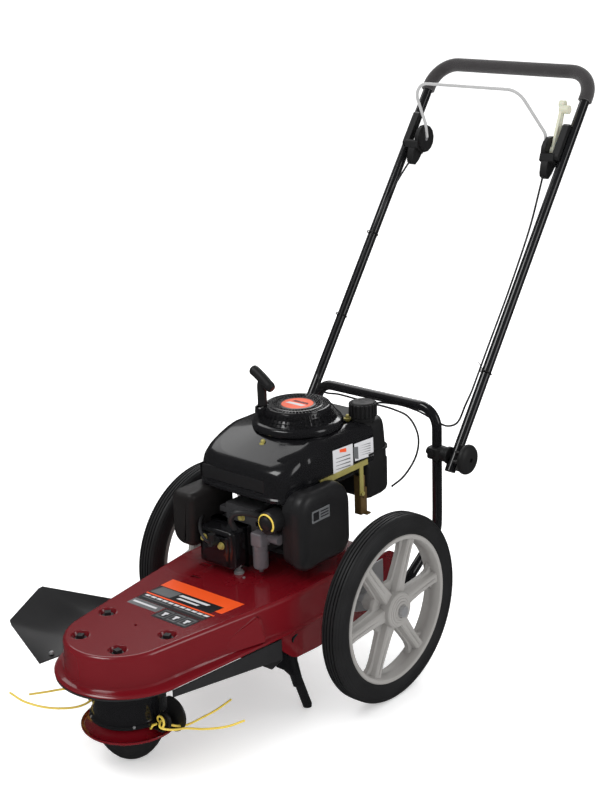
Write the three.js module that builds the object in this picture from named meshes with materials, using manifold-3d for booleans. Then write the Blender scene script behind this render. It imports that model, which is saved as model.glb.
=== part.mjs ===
// A petrol walk-behind brush mower: a trimmer head under the nose of a pressed deck, driven by a belt
// from a vertical-shaft engine, on two tall spoked wheels, steered from a folding handle.
// Millimetres, +Z up. The trimmer head leads towards -Y and the operator walks at +Y.
// Dimensions are taken from the wheels' axle line (y = 0). The last lines move the whole machine so
// that the origin is on the ground, under the middle of its bounding box.
import * as THREE from "three";
import { mergeVertices } from "three/addons/utils/BufferGeometryUtils.js";
import Module from "manifold-3d";

const wasm = await Module();
wasm.setup();

// ---- driving dimensions -------------------------------------------------------------------------
const WHEEL_RADIUS = 203.2; // a 16 inch wheel
const TYRE_WIDTH = 50;
const TYRE_OUTER_X = 286.3; // half the width over the tyres
const RIM_RADIUS = 160;
const HUB_RADIUS = 39;
const SPOKES = 6;
const SPOKE_START = THREE.MathUtils.degToRad(6);
const AXLE_RADIUS = 8;
const AXLE_Z = WHEEL_RADIUS;

const DECK_TOP = 276;
const DECK_WALL_BOTTOM = 206;
const DECK_SHEET = 2.5;
const DECK_SHOULDER_Y = -178; // where the flaring sides turn parallel
const DECK_REAR_Y = 96;

const HEAD_Y = -505; // trimmer spindle
const SPINDLE_RADIUS = 10;
const DRUM_RADIUS = 73;
const DISH_RADIUS = 98;
const BOWL_RADIUS = 68;
const LINE_RADIUS = 2;

const CRANK_Y = 29; // engine crankshaft
const CRANK_RADIUS = 12.5;
const BELT_Z = 236;
const BELT_DEPTH = 9;
const SPINDLE_PULLEY_RADIUS = 60;
const CRANK_PULLEY_RADIUS = 36;

const TUBE_RADIUS = 11.1; // 7/8 inch handle tube
const TUBE_BORE = 9.4;
const HANDLE_X = 220;
const HANDLE_SLOPE = 0.722; // backward lean of the handle, y per z
const HANDLE_FOOT_Z = 410;
const GRIP_Z = 1205;
const HANDLE_CORNER = 62;
const FOAM_RADIUS = 16;
const HOOP_X = 170;
const HOOP_Y = 297;
const HOOP_TOP_Z = 538;
const FOLD_Z = 438; // the bolt that the handle folds on
const DRUM_Z = 1041; // the bail's and the lever's control drums
const CLEARANCE = 0.4;

const handleY = (z) => 341.3 + HANDLE_SLOPE * (z - 500);
const FOLD_Y = handleY(FOLD_Z);

// ---- geometry helpers ---------------------------------------------------------------------------
const V = (x, y, z) => new THREE.Vector3(x, y, z);

function toSolid(geometry) {
  const bare = geometry.clone();
  bare.deleteAttribute("normal");
  bare.deleteAttribute("uv");
  const merged = mergeVertices(bare, 1e-3);
  return new wasm.Manifold(
    new wasm.Mesh({
      numProp: 3,
      vertProperties: merged.attributes.position.array,
      triVerts: new Uint32Array(merged.index.array),
    }),
  );
}

function toGeometry(solid) {
  const mesh = solid.getMesh();
  const geometry = new THREE.BufferGeometry();
  geometry.setAttribute("position", new THREE.BufferAttribute(mesh.vertProperties, 3));
  geometry.setIndex(new THREE.BufferAttribute(mesh.triVerts, 1));
  return geometry;
}

const join = (...list) => toGeometry(list.map(toSolid).reduce((a, b) => a.add(b)));
const cut = (body, ...tools) =>
  toGeometry(tools.map(toSolid).reduce((a, b) => a.subtract(b), toSolid(body)));

function box(x0, x1, y0, y1, z0, z1) {
  const geometry = new THREE.BoxGeometry(x1 - x0, y1 - y0, z1 - z0);
  return geometry.translate((x0 + x1) / 2, (y0 + y1) / 2, (z0 + z1) / 2);
}

// A cylinder between two points.
function rod(from, to, radius, sides = 16) {
  const along = to.clone().sub(from);
  const geometry = new THREE.CylinderGeometry(radius, radius, along.length(), sides);
  const turn = new THREE.Quaternion().setFromUnitVectors(V(0, 1, 0), along.clone().normalize());
  const middle = from.clone().add(to).multiplyScalar(0.5);
  return geometry.applyQuaternion(turn).translate(middle.x, middle.y, middle.z);
}

// A profile of [radius, height] pairs turned about a vertical axis at (x, y).
function turned(profile, x, y, segments = 24) {
  const points = profile.map(([r, z]) => new THREE.Vector2(r, z));
  const geometry = new THREE.LatheGeometry(points, segments);
  return outward(geometry.rotateX(Math.PI / 2).translate(x, y, 0));
}

// A profile of [radius, x] pairs turned about the axle line.
function wheelTurned(profile, segments) {
  const points = profile.map(([r, x]) => new THREE.Vector2(r, x));
  const geometry = new THREE.LatheGeometry(points, segments);
  return outward(geometry.rotateZ(-Math.PI / 2).translate(0, 0, AXLE_Z));
}

function signedVolume(geometry) {
  const g = geometry.index ? geometry.toNonIndexed() : geometry;
  const p = g.attributes.position;
  const [a, b, c] = [V(), V(), V()];
  let sum = 0;
  for (let i = 0; i < p.count; i += 3) {
    a.fromBufferAttribute(p, i);
    b.fromBufferAttribute(p, i + 1);
    c.fromBufferAttribute(p, i + 2);
    sum += a.dot(b.cross(c)) / 6;
  }
  return sum;
}

// The same surface with its faces pointing out.
function outward(geometry) {
  if (signedVolume(geometry) < 0) {
    const index = geometry.index.array;
    for (let i = 0; i < index.length; i += 3) {
      [index[i + 1], index[i + 2]] = [index[i + 2], index[i + 1]];
    }
  }
  return geometry;
}

// A skin over rings of equally many points. A looped loft joins its last ring to its first, and any
// other is capped at both ends by a fan about the ring's middle.
function loft(rings, looped = false) {
  const count = rings[0].length;
  const positions = rings.flat(2);
  const faces = [];
  const bands = looped ? rings.length : rings.length - 1;
  for (let band = 0; band < bands; band++) {
    const low = band * count;
    const high = ((band + 1) % rings.length) * count;
    for (let i = 0; i < count; i++) {
      const j = (i + 1) % count;
      faces.push(low + i, low + j, high + j, low + i, high + j, high + i);
    }
  }
  if (!looped) {
    for (const [ring, start, flip] of [
      [rings[0], 0, true],
      [rings.at(-1), (rings.length - 1) * count, false],
    ]) {
      const middle = [0, 1, 2].map((k) => ring.reduce((s, p) => s + p[k], 0) / count);
      const centre = positions.length / 3;
      positions.push(...middle);
      for (let i = 0; i < count; i++) {
        const j = (i + 1) % count;
        faces.push(centre, start + (flip ? j : i), start + (flip ? i : j));
      }
    }
  }
  const geometry = new THREE.BufferGeometry();
  geometry.setAttribute("position", new THREE.Float32BufferAttribute(positions, 3));
  geometry.setIndex(faces);
  return outward(geometry);
}

// A route whose stations are exactly the points given, for an extrusion along it.
class Route extends THREE.Curve {
  constructor(points) {
    super();
    this.points = points;
  }
  getPointAt(u) {
    const last = this.points.length - 1;
    return this.points[Math.round(u * last)].clone();
  }
  getTangentAt(u) {
    const last = this.points.length - 1;
    const i = Math.round(u * last);
    const before = this.points[Math.max(i - 1, 0)];
    const after = this.points[Math.min(i + 1, last)];
    return after.clone().sub(before).normalize();
  }
}

// Rounds each inner corner of a polyline with an arc of the given radius.
function rounded(corners, radius, segments = 5) {
  const points = [corners[0]];
  for (let i = 1; i < corners.length - 1; i++) {
    const back = corners[i - 1].clone().sub(corners[i]).normalize();
    const ahead = corners[i + 1].clone().sub(corners[i]).normalize();
    const half = back.angleTo(ahead) / 2;
    const bend = Array.isArray(radius) ? radius[i - 1] : radius;
    const reach = bend / Math.tan(half);
    const centre = back.clone().add(ahead).normalize();
    centre.multiplyScalar(bend / Math.sin(half)).add(corners[i]);
    const start = corners[i].clone().addScaledVector(back, reach).sub(centre);
    const end = corners[i].clone().addScaledVector(ahead, reach).sub(centre);
    const sweep = start.angleTo(end);
    const axis = start.clone().cross(end).normalize();
    for (let k = 0; k <= segments; k++) {
      points.push(start.clone().applyAxisAngle(axis, (sweep * k) / segments).add(centre));
    }
  }
  points.push(corners.at(-1));
  return points;
}

// A round bar through every point of a route, or a tube when it has a bore.
function tube(points, radius, sides = 10, bore = 0) {
  const section = new THREE.Shape();
  section.absarc(0, 0, radius, 0, 2 * Math.PI, false);
  const settings = {
    steps: points.length - 1,
    curveSegments: sides / 2,
    bevelEnabled: false,
    extrudePath: new Route(points),
  };
  if (bore) {
    const inside = new THREE.Path();
    inside.absarc(0, 0, bore, 0, 2 * Math.PI, true);
    section.holes.push(inside);
  }
  return mergeVertices(stripped(new THREE.ExtrudeGeometry(section, settings)), 1e-3);
}

function stripped(geometry) {
  geometry.deleteAttribute("normal");
  geometry.deleteAttribute("uv");
  return geometry;
}

// A smooth route through a few hand-placed points, for cables.
const eased = (points, steps) => new THREE.CatmullRomCurve3(points, false, "centripetal").getPoints(steps);

// A flat plate: an outline in the YZ plane, from x0 to x1.
function sidePlate(outline, x0, x1) {
  const shape = new THREE.Shape(outline.map(([y, z]) => new THREE.Vector2(y, z)));
  const geometry = new THREE.ExtrudeGeometry(shape, { depth: x1 - x0, bevelEnabled: false });
  const turn = new THREE.Matrix4().makeBasis(V(0, 1, 0), V(0, 0, 1), V(1, 0, 0));
  return geometry.applyMatrix4(turn).translate(x0, 0, 0);
}

// A horizontal plate: an outline in the XY plane, from z0 to z1.
function floorPlate(outline, z0, z1) {
  const shape = new THREE.Shape(outline.map(([x, y]) => new THREE.Vector2(x, y)));
  const geometry = new THREE.ExtrudeGeometry(shape, { depth: z1 - z0, bevelEnabled: false });
  return geometry.translate(0, 0, z0);
}

const mirrorX = (geometry) => outward(mergeVertices(stripped(geometry.clone()), 1e-3).scale(-1, 1, 1));

// ---- scene --------------------------------------------------------------------------------------
const machine = new THREE.Group();
const finishes = {
  red: { color: 0x7a0c14, roughness: 0.25, metalness: 0.3 },
  black: { color: 0x101011, roughness: 0.3, metalness: 0.3 },
  plastic: { color: 0x151516, roughness: 0.5, metalness: 0 },
  rubber: { color: 0x1b1b1c, roughness: 0.8, metalness: 0 },
  foam: { color: 0x2c2a2e, roughness: 0.95, metalness: 0 },
  grey: { color: 0xb9b8b3, roughness: 0.45, metalness: 0 },
  ivory: { color: 0xe6e4d4, roughness: 0.4, metalness: 0 },
  yellow: { color: 0xf0b43a, roughness: 0.4, metalness: 0 },
  steel: { color: 0xa8aab0, roughness: 0.3, metalness: 1 },
  zinc: { color: 0xb7a350, roughness: 0.35, metalness: 0.9 },
  cast: { color: 0x8d8f92, roughness: 0.5, metalness: 0.8 },
};

function place(name, geometry, finish) {
  const mesh = new THREE.Mesh(geometry, new THREE.MeshStandardMaterial(finishes[finish]));
  mesh.name = name;
  machine.add(mesh);
}

// ---- deck ---------------------------------------------------------------------------------------
// One ring of the deck: a round nose about (0, noseY), sides flaring to sideX at the shoulder, then
// parallel to a rounded rear.
function deckRing(z, noseY, noseRadius, sideX, rearY = DECK_REAR_Y, rearRadius = 18) {
  const reach = Math.hypot(sideX, DECK_SHOULDER_Y - noseY);
  const towards = Math.atan2(DECK_SHOULDER_Y - noseY, sideX);
  const tangent = towards - Math.acos(noseRadius / reach);
  const half = [];
  const noseSteps = 7;
  for (let i = 0; i <= noseSteps; i++) {
    const a = -Math.PI / 2 + ((tangent + Math.PI / 2) * i) / noseSteps;
    half.push([noseRadius * Math.cos(a), noseY + noseRadius * Math.sin(a)]);
  }
  half.push([sideX, DECK_SHOULDER_Y]);
  for (let i = 0; i <= 2; i++) {
    const a = (Math.PI / 2) * (i / 2);
    half.push([
      sideX - rearRadius + rearRadius * Math.cos(a),
      rearY - rearRadius + rearRadius * Math.sin(a),
    ]);
  }
  const other = half.slice(1).reverse().map(([x, y]) => [-x, y]);
  return [...half, ...other].map(([x, y]) => [x, y, z]);
}

const studPlaces = [
  [83.5, -471],
  [-83.5, -471],
  [52, -572.5],
  [-52, -572.5],
];
const EAR_Y = 113; // centre of the round rear end of each side wall
const EAR_Z = 228;
const EAR_RADIUS = 36;

function roundEnded(y0, yc, zc, radius) {
  const outline = [
    [y0, zc - radius],
    ...Array.from({ length: 9 }, (_, i) => {
      const a = -Math.PI / 2 + (Math.PI * i) / 8;
      return [yc + radius * Math.cos(a), zc + radius * Math.sin(a)];
    }),
    [y0, zc + radius],
  ];
  return outline;
}

const deckShell = loft([
  deckRing(DECK_TOP, -512, 104, 158, DECK_REAR_Y - 8),
  deckRing(DECK_TOP - 3, -512, 112, 166, DECK_REAR_Y - 2),
  deckRing(DECK_TOP - 9, -512, 115, 168.5),
  deckRing(DECK_WALL_BOTTOM + 10, -507, 120, 170),
  deckRing(DECK_WALL_BOTTOM + 1, -502, 132, 171.5),
  deckRing(DECK_WALL_BOTTOM - 1.5, -498, 146, 175),
  deckRing(DECK_WALL_BOTTOM - 5, -498, 146, 175),
  deckRing(DECK_WALL_BOTTOM - 1.5, -502, 129, 168.5, DECK_REAR_Y - DECK_SHEET),
  deckRing(DECK_WALL_BOTTOM + 9, -507, 117, 167.5, DECK_REAR_Y - DECK_SHEET),
  deckRing(DECK_TOP - DECK_SHEET - 3, -512, 112, 166, DECK_REAR_Y - DECK_SHEET - 1),
  deckRing(DECK_TOP - DECK_SHEET, -512, 106, 160, DECK_REAR_Y - DECK_SHEET - 6),
]);
const ear = sidePlate(roundEnded(60, EAR_Y, EAR_Z, EAR_RADIUS), 165.5, 169.5);
// Behind the trimmer the side walls reach lower, as a skirt of the same sheet.
const apron = sidePlate(
  [[-234, 206], [-234, 182], [-200, 140], [-128, 136], [60, 150], [94, 168], [94, 206]],
  165.5,
  169.5,
);
place(
  "deck",
  cut(
    join(deckShell, ear, mirrorX(ear), apron, mirrorX(apron)),
    rod(V(0, CRANK_Y, DECK_TOP - 20), V(0, CRANK_Y, DECK_TOP + 20), CRANK_RADIUS + 10, 20),
    rod(V(-300, 0, AXLE_Z), V(300, 0, AXLE_Z), AXLE_RADIUS + 6, 12),
    ...studPlaces.map(([x, y]) => rod(V(x, y, DECK_TOP - 10), V(x, y, DECK_TOP + 10), 5.5, 8)),
  ),
  "red",
);

// ---- guards under the deck ----------------------------------------------------------------------
// The flap stands off the right side of the deck, and its outer edge is raised.
const flapPlan = [
  V(-136, -552, 199.5),
  V(-150, -600, 196),
  V(-262, -579, 246),
  V(-285, -472, 277),
  V(-178, -296, 199.5),
];
const FLAP_SHEET = 3;
place(
  "deflector_flap",
  loft([
    flapPlan.map((p) => [p.x, p.y, p.z]),
    flapPlan.map((p) => [p.x, p.y, p.z - FLAP_SHEET]),
  ]),
  "rubber",
);

const SKIRT_TOP = 196;
const SKIRT_LOW_FRONT = 182;
const SKIRT_LOW_REAR = 152;
const SKIRT_REAR_Y = -238;
const SKIRT_FRONT_Y = -520;
const SHIELD_BOTTOM = 120;
function skirtSide(side) {
  const [xf, xr] = [141 * side, 167 * side];
  const ring = (top) => [
    [xf - 2 * side, SKIRT_FRONT_Y, top ? SKIRT_TOP : SKIRT_LOW_FRONT],
    [xf + side, SKIRT_FRONT_Y, top ? SKIRT_TOP : SKIRT_LOW_FRONT],
    [xr + side, SKIRT_REAR_Y, top ? SKIRT_TOP : SKIRT_LOW_REAR],
    [xr - 2 * side, SKIRT_REAR_Y, top ? SKIRT_TOP : SKIRT_LOW_REAR],
  ];
  return loft([ring(true), ring(false)]);
}
const shieldOutline = [
  [-168, SKIRT_TOP],
  [-168, 150],
  [-140, SHIELD_BOTTOM],
  [140, SHIELD_BOTTOM],
  [168, 150],
  [168, SKIRT_TOP],
];
const shieldShape = new THREE.Shape(shieldOutline.map(([x, z]) => new THREE.Vector2(x, z)));
const rearShield = new THREE.ExtrudeGeometry(shieldShape, { depth: 3, bevelEnabled: false })
  .rotateX(Math.PI / 2)
  .translate(0, SKIRT_REAR_Y + 2, 0);
place("debris_skirt", join(skirtSide(1), skirtSide(-1), rearShield), "rubber");

// Two bent legs that the parked machine rests on, with the trimmer head just clear of the ground.
const FOOT_RADIUS = 10;
const FOOT_END_Z = 3.66; // the middle of the slanted end, whose edge touches the ground
for (const [name, side] of [["left", 1], ["right", -1]]) {
  const x = 153 * side;
  const route = rounded(
    [
      V(x, -120, SKIRT_TOP - 9),
      V(x, -205, SKIRT_TOP - 9),
      V(x, -176, 78),
      V(x, -147, FOOT_END_Z),
    ],
    [22, 30],
  );
  place("stand_foot_" + name, tube(route, FOOT_RADIUS, 8), "black");
}

// ---- trimmer head -------------------------------------------------------------------------------
const housing = turned(
  [
    [12.6, 206],
    [104, 206],
    [104, 202],
    [DRUM_RADIUS, 199],
    [DRUM_RADIUS, 112],
    [80, 104],
    [80, 98],
    [69.5, 98],
    [69.5, 194],
    [26, 196],
    [26, 150],
    [12.6, 150],
    [12.6, 206],
  ],
  0,
  HEAD_Y,
  22,
);
const studs = studPlaces.flatMap(([x, y]) => [
  rod(V(x, y, 200), V(x, y, DECK_TOP + 3), 4.5, 8),
  rod(V(x, y, DECK_TOP + 0.4), V(x, y, DECK_TOP + 5), 8, 4),
]);
place("spindle_housing", join(housing, ...studs), "black");
place(
  "spindle_shaft",
  turned(
    [
      [0, 262],
      [SPINDLE_RADIUS, 262],
      [SPINDLE_RADIUS, 62],
      [0, 62],
    ],
    0,
    HEAD_Y,
    18,
  ),
  "steel",
);

function pulley(radius, bore, x, y) {
  const [low, high] = [BELT_Z - 9, BELT_Z + 9];
  return turned(
    [
      [bore, low],
      [radius, low],
      [radius, low + 2],
      [radius - BELT_DEPTH, BELT_Z - 4],
      [radius - BELT_DEPTH, BELT_Z + 4],
      [radius, high - 2],
      [radius, high],
      [bore, high],
      [bore, low],
    ],
    x,
    y,
    18,
  );
}
place("spindle_pulley", pulley(SPINDLE_PULLEY_RADIUS, SPINDLE_RADIUS + CLEARANCE, 0, HEAD_Y), "cast");

place(
  "trimmer_dish",
  turned(
    [
      [SPINDLE_RADIUS + CLEARANCE, 92],
      [64, 92],
      [70, 88],
      [84, 80],
      [94, 78],
      [DISH_RADIUS, 81],
      [DISH_RADIUS, 77],
      [94, 73],
      [83, 73],
      [68, 77],
      [SPINDLE_RADIUS + CLEARANCE, 77],
      [SPINDLE_RADIUS + CLEARANCE, 92],
    ],
    0,
    HEAD_Y,
    26,
  ),
  "red",
);
place(
  "glide_bowl",
  turned(
    [
      [0, 60],
      [40, 60],
      [44, 72.5],
      [BOWL_RADIUS, 72.5],
      [BOWL_RADIUS, 62],
      [60, 40],
      [44, 18],
      [24, 4],
      [12, 1],
      [0, 0.5],
    ],
    0,
    HEAD_Y,
  ),
  "plastic",
);

// Two ears that carry the line hooks, on one bar across the top of the dish.
const HOOK_X = 97;
const HOOK_RADIUS = 15;
const hookEar = (side) =>
  join(
    box(Math.min(60 * side, 102 * side), Math.max(60 * side, 102 * side), HEAD_Y - 16, HEAD_Y + 16, 92.5, 95.5),
    rod(V(HOOK_X * side, HEAD_Y - 3, 109), V(HOOK_X * side, HEAD_Y + 3, 109), HOOK_RADIUS, 16),
  );
place(
  "line_hook_plate",
  cut(
    join(
      floorPlate(
        Array.from({ length: 16 }, (_, i) => {
          const a = (2 * Math.PI * i) / 16;
          return [62 * Math.cos(a), HEAD_Y + 62 * Math.sin(a)];
        }),
        92.5,
        95.5,
      ),
      hookEar(1),
      hookEar(-1),
    ),
    rod(V(0, HEAD_Y, 80), V(0, HEAD_Y, 110), SPINDLE_RADIUS + CLEARANCE, 16),
    ...[1, -1].map((s) => rod(V(HOOK_X * s, HEAD_Y - 30, 113), V(HOOK_X * s, HEAD_Y + 30, 113), 7, 10)),
  ),
  "plastic",
);

// Each line is one length of nylon folded in an ear's eye, with both ends free.
const lineRoutes = {
  trimmer_line_left: [
    V(128, -300, 86),
    V(118, -340, 90),
    V(104, -400, 96),
    V(96.5, -450, 106),
    V(96, -490, 112),
    V(96, -516, 112),
    V(103, -530, 109),
    V(117, -520, 104),
    V(127, -480, 97),
    V(146, -430, 90),
    V(182, -372, 86),
  ],
  trimmer_line_right: [
    V(-262, -560, 86),
    V(-220, -572, 84),
    V(-170, -570, 88),
    V(-120, -545, 100),
    V(-97, -522, 112),
    V(-96, -494, 112),
    V(-104, -478, 109),
    V(-122, -486, 102),
    V(-170, -520, 88),
    V(-226, -560, 82),
    V(-268, -596, 88),
  ],
};
// The two ends of the right-hand line part sideways, so that the strands never touch.
lineRoutes.trimmer_line_right.slice(0, 4).forEach((p) => p.add(V(0, 22, 4)));
for (const [name, points] of Object.entries(lineRoutes)) {
  place(name, tube(eased(points, 24), LINE_RADIUS, 6), "yellow");
}

// ---- belt drive ---------------------------------------------------------------------------------
// The belt's outline runs round the two pulleys on their outer tangents.
function beltOutline(inset) {
  const [r1, r2] = [SPINDLE_PULLEY_RADIUS - inset, CRANK_PULLEY_RADIUS - inset];
  const lean = Math.asin((r1 - r2) / (CRANK_Y - HEAD_Y));
  const points = [];
  const steps = 12;
  for (let i = 0; i <= steps; i++) {
    const a = Math.PI - lean + ((Math.PI + 2 * lean) * i) / steps;
    points.push([r1 * Math.cos(a), HEAD_Y + r1 * Math.sin(a)]);
  }
  for (let i = 0; i <= steps; i++) {
    const a = lean + ((Math.PI - 2 * lean) * i) / steps;
    points.push([r2 * Math.cos(a), CRANK_Y + r2 * Math.sin(a)]);
  }
  return points;
}
const beltShape = new THREE.Shape(beltOutline(1).map(([x, y]) => new THREE.Vector2(x, y)));
beltShape.holes.push(new THREE.Path(beltOutline(BELT_DEPTH - 1.2).map(([x, y]) => new THREE.Vector2(x, y))));
place(
  "drive_belt",
  new THREE.ExtrudeGeometry(beltShape, { depth: 7, bevelEnabled: false }).translate(0, 0, BELT_Z - 3.5),
  "rubber",
);

const IDLER = { x: 80, y: -190, radius: 24 };
const ARM_PIVOT = { x: 118, y: -96 };
place("idler_pulley", pulley(IDLER.radius, 6.4, IDLER.x, IDLER.y), "cast");
place(
  "idler_arm",
  join(
    loft([
      [
        [IDLER.x - 12, IDLER.y - 8, 249],
        [IDLER.x + 10, IDLER.y - 14, 249],
        [ARM_PIVOT.x + 14, ARM_PIVOT.y + 10, 249],
        [ARM_PIVOT.x - 10, ARM_PIVOT.y + 16, 249],
      ],
      [
        [IDLER.x - 12, IDLER.y - 8, 253],
        [IDLER.x + 10, IDLER.y - 14, 253],
        [ARM_PIVOT.x + 14, ARM_PIVOT.y + 10, 253],
        [ARM_PIVOT.x - 10, ARM_PIVOT.y + 16, 253],
      ],
    ]),
    rod(V(IDLER.x, IDLER.y, 222), V(IDLER.x, IDLER.y, 257), 6, 16),
    rod(V(ARM_PIVOT.x, ARM_PIVOT.y, 240), V(ARM_PIVOT.x, ARM_PIVOT.y, 271), 7, 16),
  ),
  "zinc",
);
place("idler_spring", rod(V(128, -116, 261), V(138, -200, 261), 5, 12), "steel");

// ---- axle and wheels ----------------------------------------------------------------------------
const AXLE_END = 299;
place(
  "axle",
  join(
    rod(V(-AXLE_END, 0, AXLE_Z), V(AXLE_END, 0, AXLE_Z), AXLE_RADIUS),
    ...[1, -1].flatMap((s) => [
      rod(V(296 * s, 0, AXLE_Z), V((AXLE_END + 2) * s, 0, AXLE_Z), 12, 12),
      rod(V(196 * s, 0, AXLE_Z), V(200 * s, 0, AXLE_Z), 14, 12),
    ]),
  ),
  "steel",
);
for (const [name, side] of [["left", 1], ["right", -1]]) {
  const plate = cut(
    sidePlate(
      [
        [-52, 262],
        [-52, 214],
        [-20, 176],
        [66, 150],
        [82, 168],
        [82, 262],
      ],
      178,
      182,
    ),
    rod(V(170, 0, AXLE_Z), V(190, 0, AXLE_Z), AXLE_RADIUS + 0.5),
    ...[0, 1, 2].map((i) => box(170, 190, 26, 48, 172 + 12 * i, 178 + 12 * i)),
  );
  place("axle_bracket_" + name, side > 0 ? plate : mirrorX(plate), "cast");
}

const TYRE_X0 = TYRE_OUTER_X - TYRE_WIDTH;
const WHEEL_SEGMENTS = 36;
const tyre = wheelTurned(
  [
    [RIM_RADIUS + 1, TYRE_X0 + 4],
    [RIM_RADIUS + 18, TYRE_X0],
    [WHEEL_RADIUS - 8, TYRE_X0 + 1],
    [WHEEL_RADIUS, TYRE_X0 + 14],
    [WHEEL_RADIUS, TYRE_OUTER_X - 14],
    [WHEEL_RADIUS - 8, TYRE_OUTER_X - 1],
    [RIM_RADIUS + 18, TYRE_OUTER_X],
    [RIM_RADIUS + 1, TYRE_OUTER_X - 4],
    [RIM_RADIUS + 1, TYRE_X0 + 4],
  ],
  WHEEL_SEGMENTS,
);
const rimRing = wheelTurned(
  [
    [RIM_RADIUS + 0.6, TYRE_X0 + 5],
    [RIM_RADIUS + 0.6, TYRE_OUTER_X - 5],
    [148, TYRE_OUTER_X - 6],
    [150, TYRE_OUTER_X - 13],
    [152, TYRE_X0 + 12],
    [148, TYRE_X0 + 6],
    [RIM_RADIUS + 0.6, TYRE_X0 + 5],
  ],
  WHEEL_SEGMENTS,
);
const hub = wheelTurned(
  [
    [AXLE_RADIUS + 0.5, 203],
    [20, 203],
    [22, 240],
    [HUB_RADIUS - 4, 246],
    [HUB_RADIUS, 266],
    [HUB_RADIUS, 284],
    [HUB_RADIUS - 5, 290],
    [20, 293],
    [18, 295.5],
    [AXLE_RADIUS + 0.5, 295.5],
    [AXLE_RADIUS + 0.5, 203],
  ],
  18,
);
// A spoke is a tapered blade with a raised rib down its middle.
function spoke(angle) {
  const blade = loft([
    [
      [254, -17, HUB_RADIUS - 6],
      [258, -17, HUB_RADIUS - 6],
      [280, 0, HUB_RADIUS - 6],
      [258, 17, HUB_RADIUS - 6],
      [254, 17, HUB_RADIUS - 6],
    ],
    [
      [252, -11, 153],
      [256, -11, 153],
      [274, 0, 153],
      [256, 11, 153],
      [252, 11, 153],
    ],
  ]);
  return blade.rotateX(angle - Math.PI / 2).translate(0, 0, AXLE_Z);
}
const spokes = Array.from({ length: SPOKES }, (_, i) => spoke(SPOKE_START + (2 * Math.PI * i) / SPOKES));
const wheelBore = rod(V(190, 0, AXLE_Z), V(310, 0, AXLE_Z), AXLE_RADIUS + 0.5, 18);
const rim = cut(join(rimRing, hub, ...spokes), wheelBore);
place("tyre_left", tyre, "rubber");
place("rim_left", rim, "grey");
place("tyre_right", mirrorX(tyre), "rubber");
place("rim_right", mirrorX(rim), "grey");

// ---- engine -------------------------------------------------------------------------------------
const BLOCK_BASE = DECK_TOP + CLEARANCE;
const crankcase = turned(
  [
    [CRANK_RADIUS + 0.5, BLOCK_BASE],
    [84, BLOCK_BASE],
    [84, BLOCK_BASE + 10],
    [76, BLOCK_BASE + 18],
    [72, 392],
    [40, 402],
    [26, 436],
    [CRANK_RADIUS + 0.5, 436],
    [CRANK_RADIUS + 0.5, BLOCK_BASE],
  ],
  0,
  CRANK_Y,
  20,
);
const DIPSTICK = { x: -92, y: 60 };
const dipstickTube = join(
  rod(V(DIPSTICK.x, DIPSTICK.y, 300), V(DIPSTICK.x, DIPSTICK.y, 401.6), 11, 16),
  box(DIPSTICK.x, -50, DIPSTICK.y - 8, DIPSTICK.y + 8, 300, 316),
);
const finPlates = [316, 340, 364, 388].map((z) => box(-74, 34, -146, -42, z, z + 12));
place(
  "engine_block",
  cut(
    join(crankcase, box(-56, 26, -146, -20, 306, 412), ...finPlates, dipstickTube),
    rod(V(0, CRANK_Y, 260), V(0, CRANK_Y, 440), CRANK_RADIUS + 0.5, 20),
    rod(V(DIPSTICK.x, DIPSTICK.y, 310), V(DIPSTICK.x, DIPSTICK.y, 420), 6, 16),
  ),
  "cast",
);

// A block with rounded upright corners that pulls in a little towards its top and bottom.
function softBlock(x0, x1, y0, y1, z0, z1, corner, bevel) {
  const ring = (z, inset) => {
    const points = [];
    const r = corner;
    const centres = [
      [x1 - r, y1 - r, 0],
      [x0 + r, y1 - r, 1],
      [x0 + r, y0 + r, 2],
      [x1 - r, y0 + r, 3],
    ];
    for (const [cx, cy, quarter] of centres) {
      for (let i = 0; i <= 3; i++) {
        const a = (Math.PI / 2) * (quarter + i / 3);
        points.push([cx + (r - inset) * Math.cos(a), cy + (r - inset) * Math.sin(a), z]);
      }
    }
    return points;
  };
  return loft([ring(z0, bevel), ring(z0 + bevel, 0), ring(z1 - bevel, 0), ring(z1, bevel)]);
}
place("valve_cover", softBlock(-86, 10, -206, -146.5, 290, 372, 14, 8), "black");
place(
  "crankshaft",
  join(
    rod(V(0, CRANK_Y, 218), V(0, CRANK_Y, 500), CRANK_RADIUS, 18),
    rod(V(0, CRANK_Y, 500), V(0, CRANK_Y, 516), 17, 6),
  ),
  "steel",
);
place("crank_pulley", pulley(CRANK_PULLEY_RADIUS, CRANK_RADIUS + CLEARANCE, 0, CRANK_Y), "cast");
const FAN_BLADES = 8;
const fanBlades = Array.from({ length: FAN_BLADES }, (_, i) =>
  box(-1.5, 1.5, 46, 73, 462, 496)
    .rotateZ((2 * Math.PI * i) / FAN_BLADES)
    .translate(0, CRANK_Y, 0),
);
place(
  "flywheel_fan",
  cut(
    join(
      turned(
        [
          [CRANK_RADIUS + CLEARANCE, 448],
          [66, 448],
          [76, 452],
          [76, 464],
          [30, 470],
          [30, 490],
          [CRANK_RADIUS + CLEARANCE, 490],
          [CRANK_RADIUS + CLEARANCE, 448],
        ],
        0,
        CRANK_Y,
      ),
      ...fanBlades,
    ),
    rod(V(0, CRANK_Y, 440), V(0, CRANK_Y, 500), CRANK_RADIUS + CLEARANCE, 24),
  ),
  "cast",
);

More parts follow.
